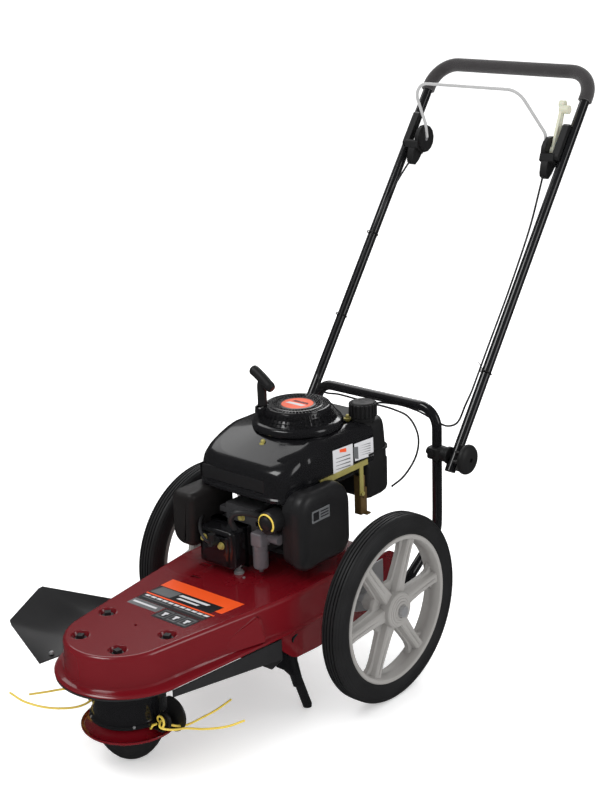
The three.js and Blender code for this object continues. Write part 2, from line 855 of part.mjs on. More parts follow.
// The shroud's outline about the crankshaft, as a superellipse with its own reach on each side.
const SHROUD = { left: 114, right: 148, front: 182, rear: 84 };
const SHROUD_STEPS = 28;
const SHROUD_POWER = 7;
function shroudRing(inset, height) {
  return Array.from({ length: SHROUD_STEPS }, (_, i) => {
    const a = (2 * Math.PI * i) / SHROUD_STEPS;
    const [c, s] = [Math.cos(a), Math.sin(a)];
    const along = (c > 0 ? SHROUD.left : SHROUD.right) - inset;
    const across = (s > 0 ? SHROUD.rear : SHROUD.front) - inset;
    const r = (Math.abs(c / along) ** SHROUD_POWER + Math.abs(s / across) ** SHROUD_POWER) ** (-1 / SHROUD_POWER);
    return [r * c, CRANK_Y + r * s, height(r * s)];
  });
}
// The top falls towards the front, over the cylinder.
const shroudFall = (dy) => 40 * THREE.MathUtils.smoothstep(-dy, 60, 190);
const shroudLip = (radius, z) =>
  Array.from({ length: SHROUD_STEPS }, (_, i) => {
    const a = (2 * Math.PI * i) / SHROUD_STEPS;
    return [radius * Math.cos(a), CRANK_Y + radius * Math.sin(a), z];
  });
const SHROUD_SHEET = 3;
place(
  "engine_shroud",
  loft(
    [
      shroudRing(2, () => 440),
      shroudRing(0, () => 456),
      shroudRing(3, (dy) => 524 - shroudFall(dy)),
      shroudRing(14, (dy) => 540 - shroudFall(dy)),
      shroudRing(22, (dy) => 545 - 0.9 * shroudFall(dy)),
      shroudLip(68, 546),
      shroudLip(68, 542.5),
      shroudRing(24, (dy) => 541.5 - 0.9 * shroudFall(dy)),
      shroudRing(16, (dy) => 536.5 - shroudFall(dy)),
      shroudRing(3 + SHROUD_SHEET, (dy) => 522 - shroudFall(dy)),
      shroudRing(SHROUD_SHEET, () => 456),
      shroudRing(2 + SHROUD_SHEET, () => 440),
    ],
    true,
  ),
  "black",
);
place(
  "recoil_cover",
  turned(
    [
      [0, 593],
      [66, 593],
      [72, 590],
      [88, 566],
      [98, 561],
      [98, 546.5],
      [94, 546.5],
      [94, 557],
      [85, 562],
      [68, 588],
      [0, 589.5],
    ],
    0,
    CRANK_Y,
  ),
  "black",
);

// The starter handle stands on its short rope, at the front right of the recoil cover.
place("starter_rope", rod(V(-52, -22, 593.4), V(-52, -22, 603.6), 2.5, 8), "grey");
place(
  "starter_grip",
  join(
    tube(eased([V(-52, -22, 604), V(-51, -23, 622), V(-44, -26, 646)], 4), 8, 10),
    tube(eased([V(-78, -28, 672), V(-50, -27, 662), V(-24, -26, 642), V(-10, -26, 633)], 6), 11, 12),
  ),
  "plastic",
);

const TANK = { x0: -96, x1: 120, y0: 114, y1: 204, z0: 370, z1: 543 };
const CAP = { x: 88, y: 141, radius: 31 };
place(
  "fuel_tank",
  cut(
    join(
      softBlock(TANK.x0, TANK.x1, TANK.y0, TANK.y1, TANK.z0, 462, 20, 6),
      softBlock(TANK.x0 + 4, TANK.x1 - 3, TANK.y0 + 0.3, TANK.y1 - 14, 440, TANK.z1, 20, 10),
      rod(V(CAP.x, CAP.y, 530), V(CAP.x, CAP.y, 550), 22, 20),
    ),
    rod(V(0, CRANK_Y, 541), V(0, CRANK_Y, 620), 99, 28),
  ),
  "plastic",
);
const CAP_RIBS = 10;
const capRibs = Array.from({ length: CAP_RIBS }, (_, i) =>
  box(-2, 2, CAP.radius - 2.5, CAP.radius + 1, 553, 580)
    .rotateZ((2 * Math.PI * i) / CAP_RIBS)
    .translate(CAP.x, CAP.y, 0),
);
place(
  "fuel_cap",
  join(
    turned(
      [
        [0, 584],
        [26, 584],
        [CAP.radius - 1, 581],
        [CAP.radius - 1, 551],
        [0, 551],
      ],
      CAP.x,
      CAP.y,
    ),
    ...capRibs,
  ),
  "plastic",
);

place("air_filter_cover", softBlock(124, 157, -150, 14, 298, 467, 12, 10), "plastic");
place(
  "air_filter_base",
  join(
    softBlock(94, 123.6, -146, 10, 302, 440, 10, 4),
    box(74, 110, -144, -132, 394, 414),
    cut(
      rod(V(80, -132, 404), V(80, -172, 404), 25, 24),
      rod(V(80, -159.5, 404), V(80, -180, 404), 17.5, 20),
    ),
  ),
  "plastic",
);
place(
  "carburettor",
  join(
    rod(V(50, -160, 292), V(50, -160, 352), 16, 20),
    box(34, 66, -178, -142, 345, 376),
    rod(V(64, -146, 362), V(93.4, -146, 362), 11, 16),
  ),
  "cast",
);
// The primer button slides in a cup on the filter's base.
place("primer_bulb", rod(V(80, -164.5, 404), V(80, -180, 404), 16.6, 20), "rubber");
place(
  "breather_hose",
  tube(
    eased(
      [
        V(-4, -176, 372.6),
        V(-4, -176, 388),
        V(8, -176, 402),
        V(28, -166, 404),
        V(40, -152, 404),
        V(53, -150, 404),
      ],
      10,
    ),
    6.5,
    8,
  ),
  "rubber",
);
// The muffler is a hollow can with an outlet in its lower front face.
place(
  "muffler",
  cut(
    softBlock(-154, -90, -212, -84, 318, 437, 18, 8),
    softBlock(-151, -93, -209, -87, 321, 434, 15, 6),
    rod(V(-122, -220, 340), V(-122, -200, 340), 9, 16),
  ),
  "black",
);
place(
  "spark_plug",
  join(
    rod(V(-28, -206.5, 352), V(-28, -226, 352), 8, 14),
    rod(V(-28, -222, 352), V(-28, -222, 372), 8, 14),
  ),
  "rubber",
);
place(
  "dipstick",
  join(
    rod(V(DIPSTICK.x, DIPSTICK.y, 402), V(DIPSTICK.x, DIPSTICK.y, 412), 14, 16),
    rod(V(DIPSTICK.x, DIPSTICK.y, 320), V(DIPSTICK.x, DIPSTICK.y, 404), 3, 8),
  ),
  "plastic",
);
// Zinc-plated speed control on the engine's left side: a fixed plate, and the arm that swings on it.
place(
  "control_plate",
  join(box(114, 118, 70, 112, 344, 432), box(96, 118, 70, 74, 344, 432), box(114, 128, 98, 112, 344, 348)),
  "zinc",
);
place(
  "governor_arm",
  join(box(119.5, 122, -46, 112, 456, 468), box(119.5, 122, 84, 96, 392, 458), rod(V(118.5, 90, 396), V(126, 90, 396), 5, 14)),
  "zinc",
);

// ---- lower hoop and handle ----------------------------------------------------------------------
const hoopRoute = rounded(
  [
    V(-HOOP_X - 12, 112, 158),
    V(-HOOP_X - 11, 158, 172),
    V(-HOOP_X - 4, 290, 250),
    V(-HOOP_X, HOOP_Y, 300),
    V(-HOOP_X, HOOP_Y, HOOP_TOP_Z),
    V(HOOP_X, HOOP_Y, HOOP_TOP_Z),
    V(HOOP_X, HOOP_Y, 300),
    V(HOOP_X + 4, 290, 250),
    V(HOOP_X + 11, 158, 172),
    V(HOOP_X + 12, 112, 158),
  ],
  [60, 50, 50, 44, 44, 50, 50, 60],
  3,
);
place("lower_hoop", tube(hoopRoute, TUBE_RADIUS, 8, TUBE_BORE), "black");

const handleCorners = [
  V(-HANDLE_X, handleY(HANDLE_FOOT_Z), HANDLE_FOOT_Z),
  V(-HANDLE_X, handleY(GRIP_Z), GRIP_Z),
  V(HANDLE_X, handleY(GRIP_Z), GRIP_Z),
  V(HANDLE_X, handleY(HANDLE_FOOT_Z), HANDLE_FOOT_Z),
];
const handleRoute = rounded(handleCorners, HANDLE_CORNER);
const boltHole = rod(V(-260, FOLD_Y, FOLD_Z), V(260, FOLD_Y, FOLD_Z), 4.6, 10);
place("upper_handle", cut(tube(handleRoute, TUBE_RADIUS, 10, TUBE_BORE), boltHole), "black");

const FOAM_END_Z = 1146;
const foamCorners = [
  V(-HANDLE_X, handleY(FOAM_END_Z), FOAM_END_Z),
  handleCorners[1],
  handleCorners[2],
  V(HANDLE_X, handleY(FOAM_END_Z), FOAM_END_Z),
];
const foamRoute = rounded(foamCorners, HANDLE_CORNER);
const foamBore = tube(handleRoute, TUBE_RADIUS + CLEARANCE, 10);
place("foam_grip", cut(tube(foamRoute, FOAM_RADIUS, 10), foamBore), "foam");

// Each clamp grips a hoop leg and holds the fold bolt, with the handle tube between it and the knob.
for (const [name, side] of [["left", 1], ["right", -1]]) {
  const clamp = cut(
    join(
      box(152, 188, HOOP_Y - 20, HOOP_Y + 14, FOLD_Z - 12, FOLD_Z + 14),
      rod(V(180, FOLD_Y, FOLD_Z), V(207.5, FOLD_Y, FOLD_Z), 19, 20),
    ),
    rod(V(HOOP_X, HOOP_Y, 400), V(HOOP_X, HOOP_Y, 480), TUBE_RADIUS + CLEARANCE),
  );
  const knob = join(
    rod(V(212, FOLD_Y, FOLD_Z), V(236, FOLD_Y, FOLD_Z), 4, 10),
    rod(V(231.8, FOLD_Y, FOLD_Z), V(246, FOLD_Y, FOLD_Z), 14),
    rod(V(244, FOLD_Y, FOLD_Z), V(262, FOLD_Y, FOLD_Z), 33, 24),
  );
  place("pivot_clamp_" + name, side > 0 ? clamp : mirrorX(clamp), "plastic");
  place("fold_knob_" + name, side > 0 ? knob : mirrorX(knob), "plastic");
}

// ---- controls -----------------------------------------------------------------------------------
const DRUM_Y = handleY(DRUM_Z);
const up = V(0, HANDLE_SLOPE, 1).normalize(); // along the handle
const out = V(0, -1, HANDLE_SLOPE).normalize(); // forwards, square to the handle
const at = (x, along, ahead) => V(x, DRUM_Y, DRUM_Z).addScaledVector(up, along).addScaledVector(out, ahead);

// A slab between two rectangles in the handle's own directions.
const slab = (x0, x1, along0, along1, behind, ahead) =>
  loft(
    [along0, along1].map((along) =>
      [at(x0, along, behind), at(x1, along, behind), at(x1, along, ahead), at(x0, along, ahead)].map(
        (p) => [p.x, p.y, p.z],
      ),
    ),
  );
// Each housing is a round case on a web that hooks round the front of the handle tube.
function controlHousing() {
  return join(
    rod(at(172, 0, 0), at(183, 0, 0), 33, 24),
    slab(172, 208, -36, -16, -10, 26),
    slab(200, 218, -30, 60, 12.2, 24),
    slab(178, 196, -66, -30, -6, 14),
  );
}
place("control_housing_left", controlHousing(), "plastic");
place("control_housing_right", mirrorX(controlHousing()), "plastic");

// The operator bail turns in both housings. Released, it springs forwards off the handle.
const BAIL_RADIUS = 3.6;
const BAIL_REACH = 137;
const BAIL_OPEN = THREE.MathUtils.degToRad(45.5);
const bailAlong = up.clone().multiplyScalar(Math.cos(BAIL_OPEN)).addScaledVector(out, Math.sin(BAIL_OPEN));
const bailPoint = (x, reach) => V(x, DRUM_Y, DRUM_Z).addScaledVector(bailAlong, reach);
place(
  "bail",
  tube(
    rounded(
      [
        bailPoint(-168, 8),
        bailPoint(-168, 38),
        bailPoint(-194, BAIL_REACH),
        bailPoint(104, BAIL_REACH),
        bailPoint(168, 40),
        bailPoint(168, 8),
      ],
      [20, 34, 56, 20],
      5,
    ),
    BAIL_RADIUS,
    8,
  ),
  "grey",
);

const LEVER_LEAN = THREE.MathUtils.degToRad(16);
const leverAlong = up.clone().multiplyScalar(Math.cos(LEVER_LEAN)).addScaledVector(out, Math.sin(LEVER_LEAN));
const leverAcross = leverAlong.clone().cross(V(1, 0, 0));
const leverPoint = (x, reach, across) =>
  V(x, DRUM_Y, DRUM_Z).addScaledVector(leverAlong, reach).addScaledVector(leverAcross, across);
const leverRing = (reach, half) =>
  [
    leverPoint(184.4, reach, -half),
    leverPoint(191, reach, -half),
    leverPoint(191, reach, half),
    leverPoint(184.4, reach, half),
  ].map((p) => [p.x, p.y, p.z]);
place(
  "throttle_lever",
  join(
    rod(leverPoint(184.4, 0, 0), leverPoint(191, 0, 0), 12),
    loft([leverRing(-4, 9), leverRing(40, 8), leverRing(92, 6)]),
    rod(leverPoint(183.8, 96, 0), leverPoint(204, 96, 0), 9),
    rod(leverPoint(183.8, 112, 0), leverPoint(193, 112, 0), 8),
    loft([leverRing(88, 6), leverRing(112, 6)]),
  ),
  "ivory",
);

// ---- control cables -----------------------------------------------------------------------------
const CABLE_RADIUS = 2.3;
const cableOnTube = (x, z, ahead) => V(x, handleY(z), z).addScaledVector(out, ahead);
const CABLE_JOINT_Z = 560;
const CABLE_AHEAD = 16;
const upperCable = (side) =>
  eased(
    [
      cableOnTube(188 * side, 986, 8),
      cableOnTube(196 * side, 950, 12),
      cableOnTube(208 * side, 880, CABLE_AHEAD),
      cableOnTube(212 * side, 760, CABLE_AHEAD),
      cableOnTube(212 * side, 640, CABLE_AHEAD),
      cableOnTube(212 * side, CABLE_JOINT_Z, CABLE_AHEAD),
    ],
    16,
  );
place("throttle_cable_upper", tube(upperCable(1), CABLE_RADIUS, 6), "rubber");
place("brake_cable_upper", tube(upperCable(-1), CABLE_RADIUS, 6), "rubber");

const cableJoint = (side) => cableOnTube(212 * side, CABLE_JOINT_Z - 0.6, CABLE_AHEAD);
const throttleRoute = [
  cableJoint(1),
  cableOnTube(210, 530, 18),
  V(196, 336, 500),
  V(176, 326, 492),
  V(140, 320, 504),
  V(100, 317, 516),
  V(40, 315, 520),
  V(-20, 306, 508),
  V(-52, 270, 440),
  V(-44, 232, 400),
  V(-30, 206.5, 394),
];
const brakeRoute = [
  cableJoint(-1),
  cableOnTube(-210, 530, 18),
  V(-192, 334, 506),
  V(-160, 318, 508),
  V(-110, 302, 518),
  V(-20, 292, 519),
  V(60, 288, 518),
  V(100, 288, 508),
  V(134, 276, 476),
  V(148, 250, 440),
  V(134, 222, 396),
  V(112, 206.5, 372),
];
place("throttle_cable_lower", tube(eased(throttleRoute, 26), CABLE_RADIUS, 6), "rubber");
place("brake_cable_lower", tube(eased(brakeRoute, 26), CABLE_RADIUS, 6), "rubber");

// ---- placing ------------------------------------------------------------------------------------
// The origin moves to the ground under the middle of the bounding box.
const bounds = new THREE.Box3().setFromObject(machine);
machine.position.set(-(bounds.min.x + bounds.max.x) / 2, -(bounds.min.y + bounds.max.y) / 2, -bounds.min.z);

export default machine;
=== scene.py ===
"""Looks of the brush mower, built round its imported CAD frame.

Shapes are written in millimetres from the wheels' axle line, as in the CAD source, and point() moves
them into the frame: +Z up, -Y towards the trimmer head, +X on the throttle side.
"""
import math

import bmesh
import bpy
from mathutils import Matrix, Quaternion, Vector


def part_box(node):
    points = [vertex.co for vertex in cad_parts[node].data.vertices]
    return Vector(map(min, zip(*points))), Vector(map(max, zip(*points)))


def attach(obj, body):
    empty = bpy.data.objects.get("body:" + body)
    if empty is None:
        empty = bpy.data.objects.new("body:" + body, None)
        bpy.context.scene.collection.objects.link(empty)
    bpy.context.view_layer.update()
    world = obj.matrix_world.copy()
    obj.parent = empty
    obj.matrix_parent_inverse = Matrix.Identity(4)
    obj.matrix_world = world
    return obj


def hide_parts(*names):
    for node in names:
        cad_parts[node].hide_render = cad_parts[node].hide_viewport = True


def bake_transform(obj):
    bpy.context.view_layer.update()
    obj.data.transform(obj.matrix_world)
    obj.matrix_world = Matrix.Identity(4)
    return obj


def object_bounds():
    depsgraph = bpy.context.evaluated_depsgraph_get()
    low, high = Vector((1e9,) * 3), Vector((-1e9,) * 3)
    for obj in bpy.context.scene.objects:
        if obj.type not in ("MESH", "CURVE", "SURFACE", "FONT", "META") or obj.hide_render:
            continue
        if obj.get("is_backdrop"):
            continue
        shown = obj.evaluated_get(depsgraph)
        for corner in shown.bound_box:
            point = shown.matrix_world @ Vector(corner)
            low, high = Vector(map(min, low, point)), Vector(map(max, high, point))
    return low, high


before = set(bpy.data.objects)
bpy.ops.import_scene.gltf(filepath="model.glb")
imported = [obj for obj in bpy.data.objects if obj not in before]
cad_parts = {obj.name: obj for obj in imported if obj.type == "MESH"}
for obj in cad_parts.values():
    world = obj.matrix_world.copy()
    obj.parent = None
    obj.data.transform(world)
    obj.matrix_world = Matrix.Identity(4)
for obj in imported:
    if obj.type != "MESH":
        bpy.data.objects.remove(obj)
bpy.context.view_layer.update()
axle_low, axle_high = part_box("axle")
AXLE_Y = (axle_low.y + axle_high.y) / 2
SIDES = (("left", 1), ("right", -1))


def point(x, y, z):
    return Vector((x / 1000, y / 1000 + AXLE_Y, z / 1000))


# ---- camera -------------------------------------------------------------------------------------
AZIMUTH, ELEVATION, ROLL = (math.radians(a) for a in (41.0016, 18.3557, -1.9274))
LENS = 71.288
CAMERA_AT = point(2096.15, -2373.26, 1657.60)

flat_reach = math.cos(ELEVATION)
back = Vector((math.sin(AZIMUTH) * flat_reach, -math.cos(AZIMUTH) * flat_reach, math.sin(ELEVATION)))
level = Vector((math.cos(AZIMUTH), math.sin(AZIMUTH), 0))
upright = back.cross(level)
right = math.cos(ROLL) * level + math.sin(ROLL) * upright
above = math.cos(ROLL) * upright - math.sin(ROLL) * level
camera_data = bpy.data.cameras.new("camera")
camera_data.lens = LENS
camera_data.sensor_width = 36
camera_data.clip_end = 60
camera = bpy.data.objects.new("camera", camera_data)
camera.matrix_world = Matrix(
    (
        (right.x, above.x, back.x, CAMERA_AT.x),
        (right.y, above.y, back.y, CAMERA_AT.y),
        (right.z, above.z, back.z, CAMERA_AT.z),
        (0, 0, 0, 1),
    )
)
bpy.context.scene.collection.objects.link(camera)
bpy.context.scene.camera = camera


# ---- materials ----------------------------------------------------------------------------------
def material(
    name, color, rough, metal=0.0, coat=0.0, grain=(900, 0.05), mottle=(14, 0.12), spread=0.06, sheen=0.0,
    scatter=0.0, specular=0.5, streak=1.0,
):
    """A surface whose colour and roughness drift a little and whose skin has a fine bump.

    grain and mottle are (scale, strength) of the fine bump and of the broad colour drift.
    """
    m = bpy.data.materials.new(name)
    m.use_nodes = True
    nodes, links = m.node_tree.nodes, m.node_tree.links

    def node(kind, **values):
        made = nodes.new("ShaderNode" + kind)
        for socket, value in values.items():
            made.inputs[socket.replace("_", " ")].default_value = value
        return made

    shader = nodes["Principled BSDF"]
    finish = {"Metallic": metal, "Coat Weight": coat, "Coat Roughness": 0.04, "Sheen Weight": sheen}
    finish["Specular IOR Level"] = specular
    if scatter:
        finish.update({"Subsurface Weight": scatter, "Subsurface Radius": (0.004, 0.002, 0.001)})
    for socket, value in finish.items():
        shader.inputs[socket].default_value = value
    where = node("TexCoord")
    stretch = node("Mapping", Scale=(1, 1, streak))
    broad = node("TexNoise", Scale=mottle[0], Detail=5)
    tint = nodes.new("ShaderNodeMix")
    tint.data_type = "RGBA"
    for socket, gain in ((6, 1 - mottle[1]), (7, 1 + mottle[1])):
        tint.inputs[socket].default_value = (*[min(c * gain, 1) for c in color], 1)
    drift = node("MapRange", To_Min=max(rough - spread, 0.02), To_Max=min(rough + spread, 1))
    fine = node("TexNoise", Scale=grain[0], Detail=3)
    bump = node("Bump", Strength=grain[1], Distance=0.0006)
    for start, end in (
        (where.outputs["Object"], stretch.inputs["Vector"]),
        (stretch.outputs["Vector"], broad.inputs["Vector"]),
        (stretch.outputs["Vector"], fine.inputs["Vector"]), (broad.outputs["Fac"], tint.inputs["Factor"]),
        (broad.outputs["Fac"], drift.inputs["Value"]), (fine.outputs["Fac"], bump.inputs["Height"]),
        (tint.outputs[2], shader.inputs["Base Color"]),
        (drift.outputs["Result"], shader.inputs["Roughness"]),
        (bump.outputs["Normal"], shader.inputs["Normal"]),
    ):
        links.new(start, end)
    return m


RED = material(
    "red_paint", (0.155, 0.0035, 0.008), 0.26, coat=1.0, grain=(70, 0.012), mottle=(6, 0.12), spread=0.04,
)
GLOSS = material(
    "gloss_black", (0.007, 0.007, 0.008), 0.2, coat=0.7, grain=(90, 0.012), mottle=(9, 0.25), spread=0.04,
)
SATIN = material(
    "satin_black", (0.013, 0.013, 0.014), 0.36, grain=(1500, 0.12), mottle=(25, 0.2), spread=0.08,
)
MOULDED = material(
    "moulded_black", (0.012, 0.012, 0.0125), 0.45, grain=(2200, 0.2), mottle=(30, 0.2), spread=0.08,
)
RUBBER = material(
    "flap_rubber", (0.022, 0.022, 0.023), 0.34, grain=(500, 0.12), mottle=(7, 0.35), spread=0.14,
)
TYRE = material("tyre_rubber", (0.014, 0.014, 0.015), 0.5, grain=(1300, 0.25), mottle=(18, 0.25), spread=0.1)
FOAM = material(
    "foam", (0.03, 0.027, 0.028), 0.95, grain=(2600, 0.9), mottle=(60, 0.2), sheen=0.25, spread=0.02,
)
RIM = material("rim_plastic", (0.29, 0.28, 0.268), 0.42, grain=(1200, 0.15), mottle=(10, 0.07))
BAIL = material("bail_coating", (0.42, 0.42, 0.42), 0.3, grain=(900, 0.08), mottle=(40, 0.08))
IVORY = material("ivory_plastic", (0.6, 0.6, 0.48), 0.35, grain=(900, 0.08), mottle=(30, 0.05), scatter=0.15)
LINE = material("line_nylon", (0.78, 0.58, 0.09), 0.35, grain=(2000, 0.2), mottle=(60, 0.12), scatter=0.2)
ZINC = material(
    "yellow_zinc", (0.5, 0.44, 0.14), 0.34, metal=0.45, grain=(700, 0.15), mottle=(45, 0.3), spread=0.1,
)
BRASSY = material("dull_zinc", (0.16, 0.1, 0.035), 0.45, metal=0.4, grain=(700, 0.2), mottle=(40, 0.4))
ALLOY = material("bowl_alloy", (0.2, 0.185, 0.2), 0.4, metal=0.5, grain=(500, 0.2), mottle=(30, 0.35))
STEEL = material(
    "bright_steel", (0.42, 0.42, 0.43), 0.32, metal=0.6, grain=(600, 0.12), mottle=(60, 0.12), streak=0.1,
)
CAST = material("cast_metal", (0.1, 0.1, 0.105), 0.55, metal=0.6, grain=(420, 0.5), mottle=(30, 0.3))
GUARD = material(
    "muffler_guard", (0.018, 0.016, 0.016), 0.42, metal=0.2, grain=(900, 0.25), mottle=(16, 0.25),
)
GREY = material("grey_steel", (0.33, 0.33, 0.34), 0.4, metal=0.5, grain=(700, 0.15), mottle=(22, 0.15))
ORANGE = material("label_orange", (0.85, 0.09, 0.012), 0.3, coat=0.4, grain=(300, 0.02), mottle=(30, 0.06))
INK = material("label_black", (0.01, 0.01, 0.012), 0.3, coat=0.4, grain=(300, 0.02), mottle=(30, 0.1))
SLATE = material("label_grey", (0.12, 0.125, 0.13), 0.32, coat=0.4, grain=(300, 0.02), mottle=(12, 0.35))
PAPER = material("label_white", (0.62, 0.62, 0.64), 0.35, coat=0.3, grain=(300, 0.02), mottle=(40, 0.06))
ROPE = material("braided_rope", (0.4, 0.4, 0.38), 0.85, grain=(2600, 0.8), mottle=(300, 0.4), sheen=0.3)
FLOOR = material("floor", (0.93, 0.93, 0.93), 0.6, grain=(30, 0.0), mottle=(0.6, 0.005), specular=0.2)
floor_inputs = FLOOR.node_tree.nodes["Principled BSDF"].inputs
floor_inputs["Emission Color"].default_value = (1, 1, 1, 1)
floor_inputs["Emission Strength"].default_value = 0.35


# ---- mesh building ------------------------------------------------------------------------------
def lofted(rings, looped=False, caps=True):
    """A skin over rings of equally many points."""
    count = len(rings[0])
    verts = [Vector(p) for ring in rings for p in ring]
    faces = []
    bands = len(rings) if looped else len(rings) - 1
    for band in range(bands):
        low, high = band * count, ((band + 1) % len(rings)) * count
        for i in range(count):
            j = (i + 1) % count
            faces.append((low + i, low + j, high + j, high + i))
    if caps and not looped:
        faces.append(tuple(reversed(range(count))))
        faces.append(tuple(range((len(rings) - 1) * count, len(rings) * count)))
    return verts, faces


def lathe(profile, centre=(0, 0, 0), axis="z", segments=64, closed=False):
    """A profile of (radius, height) pairs turned about an axis through centre."""
    verts, faces, rows = [], [], []
    for radius, height in profile:
        row = []
        for i in range(1 if radius < 1e-6 else segments):
            a = 2 * math.pi * i / segments
            p = (radius * math.cos(a), radius * math.sin(a), height)
            if axis == "x":
                p = (height, p[0], p[1])
            elif axis == "y":
                p = (p[1], height, p[0])
            row.append(len(verts))
            verts.append(Vector(p) + Vector(centre))
        rows.append(row)
    pairs = list(zip(rows, rows[1:]))
    if closed:
        pairs.append((rows[-1], rows[0]))
    for low, high in pairs:
        if len(low) == 1 and len(high) == 1:
            continue
        for i in range(segments):
            j = (i + 1) % segments
            quad = [low[i % len(low)], low[j % len(low)], high[j % len(high)], high[i % len(high)]]
            faces.append(tuple(dict.fromkeys(quad)))
    return verts, faces


def sweep(points, radius, sides=16, caps=True, looped=False, flat=1.0):
    """A round bar along points. radius is a number or one number per point."""
    points = [Vector(p) for p in points]
    radii = radius if isinstance(radius, (list, tuple)) else [radius] * len(points)
    tangents = []
    for i in range(len(points)):
        if looped:
            t = points[(i + 1) % len(points)] - points[i - 1]
        else:
            t = points[min(i + 1, len(points) - 1)] - points[max(i - 1, 0)]
        tangents.append(t.normalized())
    side = tangents[0].orthogonal().normalized()
    rings = []
    for i, (p, t, r) in enumerate(zip(points, tangents, radii)):
        if i:
            side = (side - t * side.dot(t)).normalized()
        other = t.cross(side)
        rings.append([
            p + r * (math.cos(a) * side + flat * math.sin(a) * other)
            for a in (2 * math.pi * k / sides for k in range(sides))
        ])
    return lofted(rings, looped=looped, caps=caps)


def on_circle(radius, count, start=0, step=None, centre=(0, 0)):
    """Pairs on a circle, a step of degrees apart, or evenly all the way round."""
    step = 360 / count if step is None else step
    return [
        (centre[0] + radius * math.cos(a), centre[1] + radius * math.sin(a))
        for a in (math.radians(start + step * i) for i in range(count))
    ]


def round_box(corners, count, step):
    """An outline of (radius, x, y) corners, anticlockwise from the upper right."""
    ring = []
    for k, (r, x, y) in enumerate(corners):
        centre = (x - r if k in (0, 3) else x + r, y - r if k in (0, 1) else y + r)
        ring += on_circle(r, count, 90 * k, step, centre)
    return ring


def rod(start, end, radius, sides=24):
    return sweep([start, end], radius, sides)


def prism(outline, low, high, plane="xy"):
    """A flat plate: an outline in a plane, from low to high across it."""
    place = {
        "xy": lambda a, b, h: (a, b, h), "yz": lambda a, b, h: (h, a, b), "xz": lambda a, b, h: (a, h, b),
    }[plane]
    return lofted([[place(a, b, h) for a, b in outline] for h in (low, high)])


def brick(x0, x1, y0, y1, z0, z1):
    return prism([(x0, y0), (x1, y0), (x1, y1), (x0, y1)], z0, z1)


def rounded(corners, radius, segments=10):
    """A polyline whose inner corners are arcs."""
    corners = [Vector(c) for c in corners]
    points = [corners[0]]
    for i in range(1, len(corners) - 1):
        bend = radius[i - 1] if isinstance(radius, (list, tuple)) else radius
        behind = (corners[i - 1] - corners[i]).normalized()
        ahead = (corners[i + 1] - corners[i]).normalized()
        half = behind.angle(ahead) / 2
        centre = corners[i] + (behind + ahead).normalized() * bend / math.sin(half)
        start = corners[i] + behind * bend / math.tan(half) - centre
        end = corners[i] + ahead * bend / math.tan(half) - centre
        turn = start.cross(end).normalized()
        sweep_angle = start.angle(end)
        for k in range(segments + 1):
            points.append(centre + Quaternion(turn, sweep_angle * k / segments) @ start)
    points.append(corners[-1])
    return points


def eased(points, steps):
    """A smooth route through a few points, evenly stepped (centripetal Catmull-Rom)."""
    pts = [Vector(p) for p in points]
    pts = [2 * pts[0] - pts[1]] + pts + [2 * pts[-1] - pts[-2]]
    route = []
    for i in range(1, len(pts) - 2):
        p0, p1, p2, p3 = pts[i - 1 : i + 3]
        t = [0.0]
        for a, b in ((p0, p1), (p1, p2), (p2, p3)):
            t.append(t[-1] + max((b - a).length, 1e-6) ** 0.5)
        for k in range(steps):
            s = t[1] + (t[2] - t[1]) * k / steps

            def mix(p, q, a, b):
                return (t[b] - s) / (t[b] - t[a]) * p + (s - t[a]) / (t[b] - t[a]) * q

            first, middle, last = mix(p0, p1, 0, 1), mix(p1, p2, 1, 2), mix(p2, p3, 2, 3)
            route.append(mix(mix(first, middle, 0, 2), mix(middle, last, 1, 3), 1, 2))
    route.append(pts[-2])
    return route


def soft_block(x0, x1, y0, y1, z0, z1, corner, edge, steps=6):
    """A block with round upright corners and rolled top and bottom edges."""

    def ring(z, inset):
        r = corner
        centres = ((x1 - r, y1 - r), (x0 + r, y1 - r), (x0 + r, y0 + r), (x1 - r, y0 + r))
        return [
            (cx + (r - inset) * math.cos(a), cy + (r - inset) * math.sin(a), z)
            for quarter, (cx, cy) in enumerate(centres)
            for a in (math.pi / 2 * (quarter + i / steps) for i in range(steps + 1))
        ]

    turns = [math.pi / 2 * i / 5 for i in range(6)]
    low = [ring(z0 + edge * (1 - math.sin(a)), edge * (1 - math.cos(a))) for a in reversed(turns)]
    high = [ring(z1 - edge * (1 - math.sin(a)), edge * (1 - math.cos(a))) for a in turns]
    return lofted(low + high)


class Shape:
    """Vertices and faces in axle millimetres, gathered from several solids."""

    def __init__(self):
        self.verts, self.faces, self.slots = [], [], []

    def add(self, solid, slot=0, turn=None, shift=None):
        verts, faces = solid
        first = len(self.verts)
        for v in verts:
            v = Vector(v)
            if turn is not None:
                v = turn @ v
            if shift is not None:
                v = v + Vector(shift)
            self.verts.append(v)
        self.faces += [tuple(first + i for i in f) for f in faces]
        self.slots += [slot] * len(faces)
        return self

    def flipped(self):
        other = Shape()
        other.verts = [Vector((-v.x, v.y, v.z)) for v in self.verts]
        other.faces = [tuple(reversed(f)) for f in self.faces]
        other.slots = list(self.slots)
        return other


def for_side(shape, side):
    """The shape for the left side, or its mirror image for the right."""
    return shape if side > 0 else shape.flipped()


def mesh_object(name, verts, faces, finishes=()):
    """A new object in the scene, from points in the frame's metres."""
    mesh = bpy.data.meshes.new(name)
    mesh.from_pydata(verts, [], faces)
    for finish in finishes:
        mesh.materials.append(finish)
    obj = bpy.data.objects.new(name, mesh)
    bpy.context.scene.collection.objects.link(obj)
    return obj


def face_outwards(mesh):
    work = bmesh.new()
    work.from_mesh(mesh)
    bmesh.ops.recalc_face_normals(work, faces=work.faces)
    work.to_mesh(mesh)
    work.free()


